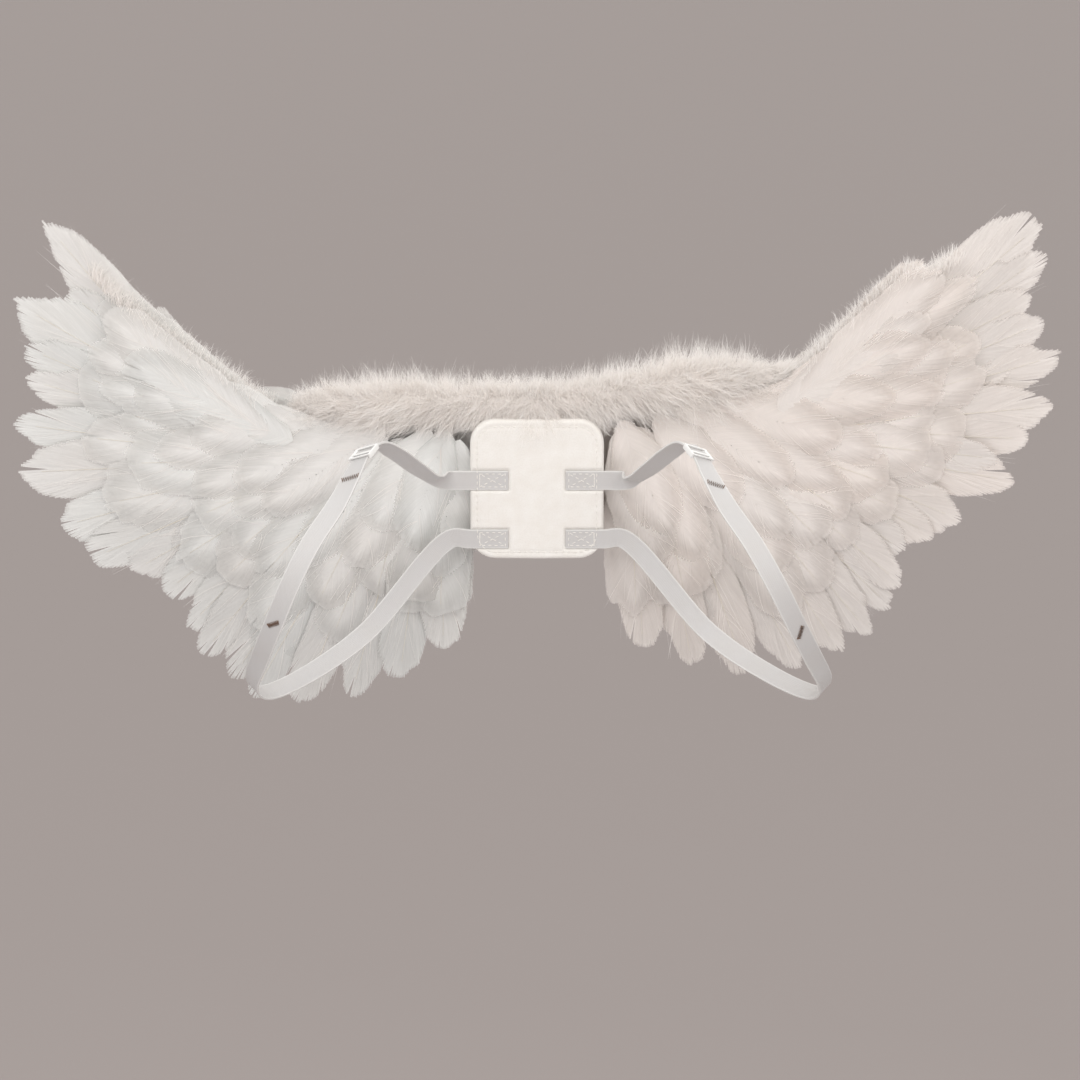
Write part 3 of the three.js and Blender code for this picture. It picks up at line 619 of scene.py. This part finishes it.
def boaReach(x):  # how far the down stands from the middle line
    swell = math.exp(-((abs(x) - boaSizes["peakOut"]) / boaSizes["peakWide"]) ** 2)
    side = 0.56 if x < 0 else 1
    closing = math.sqrt(max(0.05, 1 - abs(x / (boaSizes["half"] + 14)) ** 4))
    return (boaSizes["low"] + boaSizes["peak"] * side * swell) * closing


def boaCore():
    bpy.ops.object.select_all(action="DESELECT")
    bpy.ops.mesh.primitive_cylinder_add(vertices=28, radius=0.5, depth=1, rotation=(0, math.pi / 2, 0))
    core = bpy.context.object
    core.name = "marabou_core"
    bpy.ops.object.transform_apply(location=True, rotation=True, scale=True)
    bpy.ops.object.mode_set(mode="EDIT")
    bpy.ops.mesh.select_all(action="DESELECT")
    bpy.ops.mesh.select_mode(type="EDGE")
    bpy.ops.object.mode_set(mode="OBJECT")
    for edge in core.data.edges:
        a, b = (core.data.vertices[v].co for v in edge.vertices)
        edge.select = abs(a.x - b.x) > 0.5
    bpy.ops.object.mode_set(mode="EDIT")
    bpy.ops.mesh.subdivide(number_cuts=59)
    bpy.ops.object.mode_set(mode="OBJECT")
    for vertex in core.data.vertices:
        share = vertex.co.x * 2
        x = boaSizes["half"] * math.sin(share * math.pi / 2)
        middle = boaMiddle(x)
        fromAxis = math.hypot(vertex.co.y, vertex.co.z) or 1
        ends = math.sqrt(max(0.0, 1 - abs(share) ** 8)) + 0.02
        size = boaSizes["coreShare"] * boaReach(x) * ends
        lump = 1 + 0.07 * math.sin(x * 0.31 + 3 * vertex.co.z) + 0.05 * math.sin(x * 0.83 + 9 * vertex.co.y)
        coreDepth = middle[1] + vertex.co.y / fromAxis * size * lump
        coreHeight = middle[2] + vertex.co.z / fromAxis * size * lump
        vertex.co = Vector((x, coreDepth, coreHeight)) * mm
    bpy.ops.object.shade_smooth()
    core.data.materials.append(finishes["down"])
    return settle(core, "down")


def boaDown(name, side, rand):
    pile = Pile()
    n, m = boaSizes["tufts"], boaSizes["strands"]
    share = rand.uniform(0, 1, n) ** 1.2
    x = side * share * boaSizes["half"]
    turn = np.radians(rand.uniform(-40, 225, n))
    lean = side * (0.55 * share ** 1.5 - 0.1) + rand.normal(0, 0.25, n)
    out = np.stack([lean, -np.cos(turn), np.sin(turn)], 1) + rand.normal(0, 0.14, (n, 3))
    out /= np.linalg.norm(out, axis=1)[:, None]
    front = np.exp(-((turn - 0.15) / 0.75) ** 2)  # in front the down lies flat, and points outwards and down
    fall = math.radians(60) - share * math.radians(46)
    flat = np.stack([side * np.cos(fall), np.full(n, 0.02), -np.sin(fall)], 1)
    out = out * (1 - 0.88 * front[:, None]) + flat * front[:, None]
    out /= np.linalg.norm(out, axis=1)[:, None]
    middle = np.array([boaMiddle(v) for v in x])
    reach = np.array([boaReach(v) for v in x])
    radial = np.stack([np.zeros(n), -np.cos(turn), np.sin(turn)], 1)
    root = middle + radial * (reach * boaSizes["coreShare"] * 0.9)[:, None]
    long = reach * (0.3 + rand.uniform(0, 1, n) ** 2 * 0.75) * (1 + 0.35 * front)
    start = root[:, None, :] + rand.normal(0, 2.6, (n, m, 3))
    finish = (root + out * long[:, None])[:, None, :] + rand.normal(0, 2.4, (n, m, 3))
    finish += out[:, None, :] * rand.normal(0, 2.6, (n, m))[:, :, None]
    swing = rand.normal(0, 1.6, (n, 1, 3)) + rand.normal(0, 0.8, (n, m, 3))
    swing[:, :, 2] -= (rand.uniform(0, 0.2, n) * long)[:, None]
    start, finish, swing = (v.reshape(-1, 3) for v in (start, finish, swing))
    v = np.array([0, 0.4, 0.75, 1.0])
    line = start[:, None, :] + (finish - start)[:, None, :] * v[None, :, None] + swing[:, None, :] * (4 * v * (1 - v))[None, :, None]
    facing = np.repeat(radial, m, axis=0) + rand.normal(0, 0.45, start.shape)  # a strand's flat side looks outwards
    across = np.cross(finish - start, facing)
    across /= np.linalg.norm(across, axis=1)[:, None] + 1e-9
    half = boaSizes["fineness"] * rand.uniform(0.55, 1.35, len(start))[:, None] * np.array([1.2, 1, 0.65, 0.15])[None, :]
    edge = np.array([-1, 1])
    points = line[:, :, None, :] + across[:, None, None, :] * (half[:, :, None] * edge)[:, :, :, None]
    count = len(start)
    uv = np.stack([np.broadcast_to(np.arange(count)[:, None, None] * 1.7 + edge * 0.2, (count, 4, 2)).ravel(),
                   np.broadcast_to(v[None, :, None] * 20, (count, 4, 2)).ravel()], 1)
    tone = np.repeat(rand.uniform(0, 1, n), m)
    values = np.zeros((count * 8, 5))
    values[:, 0] = np.repeat(tone, 8)
    values[:, 1] = np.broadcast_to(v[None, :, None], (count, 4, 2)).ravel()
    pile.add(points.reshape(-1, 3), ribbonFaces(count, 4), uv, values)
    return settle(pile.build(name, [finishes["down"]]), "down", "marabou_boa")


boaCore()
for side, name in ((-1, "left_marabou_down"), (1, "right_marabou_down")):
    boaDown(name, side, np.random.default_rng(31 + side))
print("marabou boa laid")


# straps: elastic bands from the panel's upper tab over the shoulder and under the arm to the lower tab
strapSizes = {
    "width": 12.7, "thick": 1.0, "edgeThick": 1.35, "out": 174, "forward": 135, "crest": 44, "drop": 156, "tab": 24,
    "tabHeights": (6, -32), "depth": 0.95, "rows": 320, "columns": 12,
    "share": {"left": (1, 1), "right": (0.93, 1.02)},
}
# out, forward and drop as shares, and the way that the band's face looks
strapRoute = [
    (0.37, 0.07, 0.22, (0.3, 0.9, 0.3)), (0.43, 0.19, 0.15, (-0.1, 0.7, 0.7)), (0.5, 0.33, 0.06, (-0.3, 0.4, 0.85)),
    (0.56, 0.45, 0, (-0.3, 0, 0.95)), (0.6, 0.555, 0.018, (-0.48, -0.2, 0.85)), (0.64, 0.69, 0.085, (-0.4, -0.58, 0.71)),
    (0.69, 0.83, 0.17, (-0.25, -0.85, 0.5)), (0.77, 0.95, 0.29, (-0.3, -0.93, 0.25)), (0.84, 1, 0.44, (-0.3, -0.95, 0.05)),
    (0.895, 0.97, 0.59, (-0.38, -0.92, 0)), (0.95, 0.87, 0.75, (-0.4, -0.92, 0)),
    (0.995, 0.7, 0.91, (-0.75, -0.6, -0.3)), (0.96, 0.5, 1, (-0.6, 0, -0.8)), (0.83, 0.29, 0.985, (-0.4, 0.4, -0.8)),
    (0.62, 0.12, 0.85, (-0.1, 0.85, -0.5)),
]


def throughPoints(points, station):  # a smooth curve through points, by how far each is from the next
    p = np.array(points, float)
    i = min(int(station), len(p) - 2)
    w = station - i
    p1, p2 = p[i], p[i + 1]
    p0 = p[i - 1] if i > 0 else 2 * p[0] - p[1]
    p3 = p[i + 2] if i + 2 < len(p) else 2 * p[-1] - p[-2]
    d0, d1, d2 = (np.sum((b - a) ** 2) ** 0.25 for a, b in ((p0, p1), (p1, p2), (p2, p3)))
    d1 = d1 if d1 > 1e-4 else 1.0
    d0 = d0 if d0 > 1e-4 else d1
    d2 = d2 if d2 > 1e-4 else d1
    m1 = ((p1 - p0) / d0 - (p2 - p0) / (d0 + d1) + (p2 - p1) / d1) * d1
    m2 = ((p2 - p1) / d1 - (p3 - p1) / (d1 + d2) + (p3 - p2) / d2) * d1
    return p1 + m1 * w + (3 * (p2 - p1) - 2 * m1 - m2) * w ** 2 + (2 * (p1 - p2) + m1 + m2) * w ** 3


def strapPoints(name):
    side = wings[name]["side"]
    crest, foot = strapSizes["share"][name]
    edge = wingSizes["panelHalf"]
    tabs = [[(side * out, strapSizes["depth"], height) for out in (edge - strapSizes["tab"], edge, edge + strapSizes["width"])]
            for height in strapSizes["tabHeights"]]
    route = [(side * (crest + (foot - crest) * drop) * out * strapSizes["out"], -forward * strapSizes["forward"],
              strapSizes["crest"] - drop * strapSizes["drop"]) for out, forward, drop, _ in strapRoute]
    faces = [(-side * x, y, z) for _, _, _, (x, y, z) in strapRoute]
    flat = [(0, 1, 0)] * 3
    return tabs[0] + route + tabs[1][::-1], flat + faces + flat


def strapFrame(name, station):  # where the band's middle is, along it, out of its face and across it
    points, faces = strapPoints(name)
    place = throughPoints(points, station)
    step = 0.01
    along = throughPoints(points, min(station + step, len(points) - 1)) - throughPoints(points, max(station - step, 0))
    along /= np.linalg.norm(along)
    out = throughPoints(faces, station)
    out = out - along * out.dot(along)
    out /= np.linalg.norm(out)
    return place, along, out, np.cross(along, out)


def strapElastic():
    look = Finish("woven_elastic")
    ribs = look.add("ShaderNodeTexWave", {"wave_type": "BANDS", "bands_direction": "Y"},
                    {"Vector": look.uv(1, 1), "Scale": 420, "Distortion": 0.6, "Detail": 1, "Detail Scale": 1.5}, out=1)
    cords = look.add("ShaderNodeTexWave", {"wave_type": "BANDS", "bands_direction": "X"},
                     {"Vector": look.uv(1, 1), "Scale": 260, "Distortion": 0.3, "Detail": 0}, out=1)
    rubbed = look.noise(look.place(60), detail=3)
    edge = look.value("edge")
    white = look.mix(rubbed, (0.6, 0.595, 0.6), (0.585, 0.565, 0.55))
    toned = look.mix(ribs * 0.25, white, (0.50, 0.49, 0.49))
    # the band's colour is paler along both edges
    paler_at_edges = look.mix(edge.between(0.84, 0.95) * 0.8, toned, (0.76, 0.755, 0.74))
    height = ribs * 0.6 + cords * 0.3
    skin = look.skin({"Base Color": paler_at_edges, "Roughness": 0.42 - ribs * 0.1, "Sheen Weight": 0.2,
                      "Normal": look.bump(height, 0.4, 0.0002)})
    return look.close(skin)


def strapBand(name):
    rows, columns = strapSizes["rows"], strapSizes["columns"]
    bpy.ops.object.select_all(action="DESELECT")
    bpy.ops.mesh.primitive_grid_add(x_subdivisions=columns, y_subdivisions=rows, size=2)
    band = bpy.context.object
    band.name = f"{name}_elastic_strap"
    mesh = band.data
    last = len(strapPoints(name)[0]) - 1
    lengths = [0.0]
    grid = [(round(v.co.x, 4), round(v.co.y, 4)) for v in mesh.vertices]
    levels = sorted({y for _, y in grid})
    frames = [strapFrame(name, (y + 1) / 2 * last) for y in levels]
    for one, two in zip(frames, frames[1:]):
        lengths.append(lengths[-1] + float(np.linalg.norm(two[0] - one[0])))
    row = {y: i for i, y in enumerate(levels)}
    edges = mesh.attributes.new("edge", "FLOAT", "POINT")
    spots = []
    for vertex, (x, y) in zip(mesh.vertices, grid):
        place, along, out, across = frames[row[y]]
        vertex.co = Vector(place + across * x * (strapSizes["width"] / 2 - 0.2)) * mm
        edges.data[vertex.index].value = abs(x)
        spots.append((x * strapSizes["width"] / 2 * mm, lengths[row[y]] * mm))
    for loop in mesh.loops:
        mesh.uv_layers[0].data[loop.index].uv = spots[loop.vertex_index]
    mesh.uv_layers[0].name = "UVMap"
    rims = band.vertex_groups.new(name="rims")
    for vertex, (x, y) in zip(mesh.vertices, grid):
        rims.add([vertex.index], 1.0 if abs(x) > 0.8 else 0.0, "REPLACE")
    wall = band.modifiers.new("wall", "SOLIDIFY")
    wall.thickness = strapSizes["edgeThick"] * mm
    wall.offset = 0
    wall.vertex_group = "rims"
    wall.thickness_vertex_group = strapSizes["thick"] / strapSizes["edgeThick"]
    bpy.ops.object.modifier_apply(modifier="wall")
    rounding = band.modifiers.new("rounding", "BEVEL")
    rounding.width = 0.35 * mm
    rounding.segments = 2
    rounding.limit_method = "ANGLE"
    rounding.angle_limit = math.radians(50)
    bpy.ops.object.modifier_apply(modifier="rounding")
    bpy.ops.object.shade_smooth_by_angle(angle=math.radians(40))
    band.data.materials.append(finishes["elastic"])
    return settle(band, "elastic", f"{name}_strap")


# the slider: a rounded plastic loop round the band with a bar behind it
sliderSizes = {"station": 7, "long": 12.4, "wall": 1.7, "thick": 0.95, "gap": 0.2}


def sliderPlastic():
    look = Finish("slider_plastic")
    cloud = look.noise(look.place(500), detail=3)
    scuffs = look.noise(look.place(2600), detail=2)
    white = look.mix(cloud * 0.4, (0.88, 0.88, 0.87), (0.82, 0.81, 0.80))
    skin = look.skin({"Base Color": white, "Roughness": scuffs * 0.2 + 0.22, "Normal": look.bump(scuffs, 0.08, 0.0002)})
    return look.close(skin)


def onStrap(piece, name, station, lift=0.0):  # puts a piece that lies flat at the origin on the band's face
    place, along, out, across = strapFrame(name, station)
    middle = (place + out * lift) * mm
    turn = Matrix([(along[i], -across[i], out[i], middle[i]) for i in range(3)] + [(0, 0, 0, 1)])
    piece.data.transform(turn)


def strapSlider(name):
    size = sliderSizes
    half = strapSizes["width"] / 2 + size["gap"]
    above = strapSizes["edgeThick"] / 2 + size["gap"]
    long = size["long"] / 2
    bars = [
        ((0, 0, above + size["thick"] / 2), (size["long"], 2 * (half + size["wall"]), size["thick"])),
        ((0, half + size["wall"] / 2, 0), (size["long"] * 0.96, size["wall"], 2 * (above + size["thick"]) * 0.8)),
        ((0, -half - size["wall"] / 2, 0), (size["long"] * 0.96, size["wall"], 2 * (above + size["thick"]) * 0.8)),
        ((0, 0, -above - size["thick"] / 2), (2 * size["wall"], 2 * (half + size["wall"]) * 0.97, size["thick"])),
        ((size["long"] * 0.13, 0, above + size["thick"] * 0.45), (size["wall"] * 1.1, 2 * half + 1, size["thick"] * 0.8)),
    ]
    made = []
    for i, (place, sides) in enumerate(bars):
        bpy.ops.object.select_all(action="DESELECT")
        bpy.ops.mesh.primitive_cube_add(size=1, location=[v * mm for v in place])
        bar = bpy.context.object
        bar.scale = [v * mm for v in sides]
        bpy.ops.object.transform_apply(location=True, rotation=True, scale=True)
        if i == 0:  # the loop: its top face is inset and the middle taken out
            bpy.ops.object.mode_set(mode="EDIT")
            bpy.ops.mesh.select_all(action="DESELECT")
            bpy.ops.mesh.select_mode(type="FACE")
            bpy.ops.object.mode_set(mode="OBJECT")
            for face in bar.data.polygons:
                face.select = abs(face.normal.z) > 0.9
            bpy.ops.object.mode_set(mode="EDIT")
            bpy.ops.mesh.inset(thickness=size["wall"] * 0.8 * mm, use_individual=True)
            bpy.ops.mesh.bridge_edge_loops()
            bpy.ops.object.mode_set(mode="OBJECT")
        rounding = bar.modifiers.new("rounding", "BEVEL")
        rounding.width = 0.4 * mm
        rounding.segments = 3
        bpy.ops.object.modifier_apply(modifier="rounding")
        made.append(bar)
    bpy.ops.object.select_all(action="DESELECT")
    for bar in made:
        bar.select_set(True)
    bpy.context.view_layer.objects.active = made[0]
    bpy.ops.object.join()
    slider = bpy.context.object
    slider.name = f"{name}_slider"
    onStrap(slider, name, size["station"])
    bpy.ops.object.shade_smooth_by_angle(angle=math.radians(35))
    slider.data.materials.append(finishes["plastic"])
    return settle(slider, "slider_plastic", f"{name}_strap_slider")


# brown bar tacks: a close zigzag of thread across the band
tackSizes = {
    "deep": {"upper": 3.8, "lower": 2.6}, "zigs": 9, "thread": 0.36, "stations": {"left": (8.03, 12.05), "right": (8.27, 12.28)},
    "wide": {"upper": 10.6, "lower": 8.4}, "slant": {"left": (24, 50), "right": (-32, 46)},
}


def tackThread():
    look = Finish("tack_thread")
    twist = look.noise(look.place(3000), detail=1)
    brown = look.mix(twist, (0.10, 0.042, 0.02), (0.22, 0.11, 0.055))
    return look.close(look.skin({"Base Color": brown, "Roughness": 0.55, "Sheen Weight": 0.2, "Normal": look.bump(twist, 0.4, 0.0001)}))


def barTack(name, place, station, slant):
    size = tackSizes
    curve = bpy.data.curves.new("zigzag", "CURVE")
    curve.dimensions = "3D"
    curve.bevel_depth = size["thread"] * mm
    curve.bevel_resolution = 1
    curve.use_fill_caps = True
    line = curve.splines.new("POLY")
    count = 2 * size["zigs"]
    line.points.add(count)
    for i, point in enumerate(line.points):
        across = (i / count - 0.5) * size["wide"][place]
        along = (0.5 if i % 2 else -0.5) * size["deep"][place]
        turn = math.radians(slant)
        point.co = ((along * math.cos(turn) - across * math.sin(turn)) * mm,
                    (along * math.sin(turn) + across * math.cos(turn)) * mm, (0.1 if i % 2 else 0.0) * mm, 1)
    bpy.ops.object.select_all(action="DESELECT")
    tack = bpy.data.objects.new(f"{name}_{place}_bar_tack", curve)
    bpy.context.scene.collection.objects.link(tack)
    bpy.context.view_layer.objects.active = tack
    tack.select_set(True)
    bpy.ops.object.convert(target="MESH")
    tack = bpy.context.object
    onStrap(tack, name, station, strapSizes["thick"] / 2 + size["thread"] * 0.5)
    tack.data.materials.append(finishes["thread"])
    return settle(tack, "elastic")


finishes.update(elastic=strapElastic(), plastic=sliderPlastic(), thread=tackThread())
for name in wings:
    strapBand(name)
    strapSlider(name)
    for place, station, slant in zip(("upper", "lower"), tackSizes["stations"][name], tackSizes["slant"][name]):
        barTack(name, place, station, slant)
print("straps, sliders and bar tacks made")


# the panel: a stiff board covered with felt, with a line of stitches round it and one round each strap end
panelSizes = {"wide": 84, "high": 90, "thick": 6, "corner": 16, "stitchIn": 4.5, "stitch": 2.6, "pitch": 3.9, "thread": 0.28}


def panelFelt():
    look = Finish("panel_felt")
    fibres = look.noise(look.place(900), detail=4, roughness=0.7)
    mats = look.noise(look.place(110), detail=3)
    white = look.mix(mats.between(0.3, 0.7), (0.83, 0.80, 0.76), (0.87, 0.85, 0.82))
    toned = look.mix(fibres.between(0.45, 0.75) * 0.35, white, (0.72, 0.68, 0.63))
    height = fibres * 0.7 + mats * 0.5
    return look.close(look.skin({"Base Color": toned, "Roughness": 0.92, "Sheen Weight": 0.4, "Normal": look.bump(height, 0.5, 0.0006)}))


def panelThread():
    look = Finish("panel_thread")
    twist = look.noise(look.place(2200), detail=1)
    cream = look.mix(twist, (0.80, 0.77, 0.72), (0.90, 0.88, 0.85))
    return look.close(look.skin({"Base Color": cream, "Roughness": 0.6, "Normal": look.bump(twist, 0.3, 0.0001)}))


def stitchDent(x, z):  # how far the stitched line pulls the felt in
    inset = panelSizes["stitchIn"]
    edge = max(abs(x) - (panelSizes["wide"] / 2 - inset), abs(z) - (panelSizes["high"] / 2 - inset))
    corner = panelSizes["corner"] - inset
    cx = abs(x) - (panelSizes["wide"] / 2 - panelSizes["corner"])
    cz = abs(z) - (panelSizes["high"] / 2 - panelSizes["corner"])
    if cx > 0 and cz > 0:
        edge = math.hypot(cx, cz) - corner
    return 0.45 * math.exp(-(edge / 1.1) ** 2)


def backPanel():
    size = panelSizes
    bpy.ops.object.select_all(action="DESELECT")
    bpy.ops.mesh.primitive_cube_add(size=1, location=(0, size["thick"] / 2 * mm, 0))
    panel = bpy.context.object
    panel.name = "felt_back_panel"
    panel.scale = (size["wide"] * mm, (size["thick"] - 0.1) * mm, size["high"] * mm)
    bpy.ops.object.transform_apply(location=True, rotation=True, scale=True)
    bpy.ops.object.mode_set(mode="EDIT")
    bpy.ops.mesh.select_all(action="DESELECT")
    bpy.ops.mesh.select_mode(type="EDGE")
    bpy.ops.object.mode_set(mode="OBJECT")
    for edge in panel.data.edges:
        a, b = (panel.data.vertices[v].co for v in edge.vertices)
        edge.select = abs(a.y - b.y) > 0.5 * size["thick"] * mm
    bpy.ops.object.mode_set(mode="EDIT")
    bpy.ops.mesh.bevel(offset=size["corner"] * mm, segments=8)
    bpy.ops.object.mode_set(mode="OBJECT")
    rounding = panel.modifiers.new("rounding", "BEVEL")
    rounding.width = 1.3 * mm
    rounding.segments = 3
    rounding.limit_method = "ANGLE"
    rounding.angle_limit = math.radians(50)
    bpy.ops.object.modifier_apply(modifier="rounding")
    remesh = panel.modifiers.new("even", "REMESH")
    remesh.mode = "VOXEL"
    remesh.voxel_size = 0.9 * mm
    bpy.ops.object.modifier_apply(modifier="even")
    for vertex in panel.data.vertices:
        x, y, z = (v / mm for v in vertex.co)
        y += wingSizes["sweep"] * abs(x) * min(max(y / size["thick"], 0), 1)
        if y < size["thick"] / 2:
            y += stitchDent(x, z)
            for side in (-1, 1):
                for height in strapSizes["tabHeights"]:
                    overX = min(1, max(0, (side * x - (size["wide"] / 2 - strapSizes["tab"] - 1)) / 0.8))
                    overZ = min(1, max(0, (strapSizes["width"] / 2 + 1 - abs(z - height)) / 0.8))
                    y = max(y, y + (1.75 - y) * overX * overZ)
        vertex.co = Vector((x, y, z)) * mm
    smoothing = panel.modifiers.new("soften", "SMOOTH")
    smoothing.iterations = 2
    bpy.ops.object.modifier_apply(modifier="soften")
    bpy.ops.object.shade_smooth()
    panel.data.materials.append(finishes["felt"])
    return settle(panel, "felt", "back_panel")


def stitchLine(name, corners, closed, deep):  # short round stitches along a line on the panel's face
    size = panelSizes
    pile = Pile()
    line = [np.array(c, float) for c in corners] + ([np.array(corners[0], float)] if closed else [])
    lengths = [float(np.linalg.norm(b - a)) for a, b in zip(line, line[1:])]
    total = sum(lengths)
    count = round(total / size["pitch"])
    for i in range(count):
        along = (i + 0.5) * total / count
        step = 0
        while along > lengths[step]:
            along -= lengths[step]
            step += 1
        way = (line[step + 1] - line[step]) / lengths[step]
        middle = line[step] + way * along
        across = np.array([-way[1], way[0]])
        s = np.linspace(-1, 1, 7)
        radius = size["thread"] * np.sqrt(np.clip(1.02 - s ** 4, 0.02, 1))
        turn = np.arange(6) / 6 * 2 * math.pi
        spots = middle[None, None, :] + way * (s * size["stitch"] / 2)[:, None, None] + across * (radius[:, None] * np.cos(turn))[:, :, None]
        lift = deep + 0.25 * s[:, None] ** 2 - radius[:, None] * np.sin(turn)
        points = np.stack([spots[:, :, 0].ravel(), lift.ravel(), spots[:, :, 1].ravel()], 1)
        here = (np.arange(6)[:, None] * 6 + np.arange(6)[None, :]).ravel()
        beside = (np.arange(6)[:, None] * 6 + (np.arange(6)[None, :] + 1) % 6).ravel()
        faces = np.stack([here, here + 6, beside + 6, beside], 1)
        pile.add(points, faces, points[:, ::2], np.zeros((42, 5)))
    return settle(pile.build(name, [finishes["panelThread"]]), "felt")


def panelStitches():
    size = panelSizes
    wide, high = size["wide"] / 2 - size["stitchIn"], size["high"] / 2 - size["stitchIn"]
    cornerArc = size["corner"] - size["stitchIn"]
    corners = []
    for cx, cz, first in ((1, -1, -90), (1, 1, 0), (-1, 1, 90), (-1, -1, 180)):
        for step in range(7):
            turn = math.radians(first + step * 15)
            corners.append((cx * (wide - cornerArc) + cornerArc * math.cos(turn),
                            cz * (high - cornerArc) + cornerArc * math.sin(turn)))
    stitchLine("panel_edge_stitches", corners, True, 0.25)
    for side, name in ((-1, "left"), (1, "right")):
        for place, height in zip(("upper", "lower"), strapSizes["tabHeights"]):
            inner = side * (size["wide"] / 2 - strapSizes["tab"] + 2)
            outer = side * (size["wide"] / 2 - 6)
            half = strapSizes["width"] / 2 - 2.2
            box = [(inner, height - half), (outer, height - half), (outer, height + half), (inner, height + half),
                   (inner, height - half), (outer, height + half), (outer, height - half), (inner, height + half)]
            stitchLine(f"{name}_{place}_tab_stitches", box, False, 0.4)


finishes.update(felt=panelFelt(), panelThread=panelThread())
backPanel()
panelStitches()
print("back panel made")


# plain floor and soft studio light
studio = {
    "floorHeight": -1.7, "floorColour": (0.47, 0.415, 0.40), "world": (1.0, 0.985, 0.965), "worldStrength": 0.75,
    "lamps": [
        {"name": "soft_key", "place": (-0.5, -0.95, 1.05), "size": 1.0, "power": 7.8, "colour": (1, 0.985, 0.97)},
        {"name": "soft_fill", "place": (0.75, -1.0, 0.85), "size": 1.0, "power": 5.5, "colour": (1, 0.96, 0.92)},
        {"name": "soft_low", "place": (-0.2, -1.3, -1.1), "size": 1.2, "power": 7, "colour": (0.98, 0.985, 1)},
        {"name": "soft_top", "place": (0.2, 0.5, 1.7), "size": 1.2, "power": 4, "colour": (1, 0.98, 0.96)},
        {"name": "soft_rear", "place": (0.6, 2.0, 0.9), "size": 1.6, "power": 10, "colour": (1, 0.98, 0.97)},
    ],
}


def addStudio():
    bpy.ops.object.select_all(action="DESELECT")
    bpy.ops.mesh.primitive_plane_add(size=60, location=(0, 0, studio["floorHeight"]))
    floor = bpy.context.object
    floor.name = "floor"
    look = Finish("floor_paper")
    grain = look.noise(look.place(6), detail=3)
    toned = look.mix(grain * 0.06, studio["floorColour"], (0.53, 0.49, 0.475))
    floor.data.materials.append(look.close(look.skin({"Base Color": toned, "Roughness": 0.9})))
    for lamp in studio["lamps"]:
        aim = Vector((0, 0, 0.02)) - Vector(lamp["place"])
        bpy.ops.object.light_add(type="AREA", location=lamp["place"], rotation=aim.to_track_quat("-Z", "Y").to_euler())
        light = bpy.context.object
        light.name = lamp["name"]
        light.data.size = lamp["size"]
        light.data.energy = lamp["power"]
        light.data.color = lamp["colour"]
    world = bpy.data.worlds.new("studio_air")
    bpy.context.scene.world = world
    world.use_nodes = True
    air = world.node_tree.nodes["Background"]
    air.inputs["Color"].default_value = (*studio["world"], 1)
    air.inputs["Strength"].default_value = studio["worldStrength"]
    bpy.context.scene.view_settings.view_transform = "Standard"


addStudio()
print("floor and lights placed")
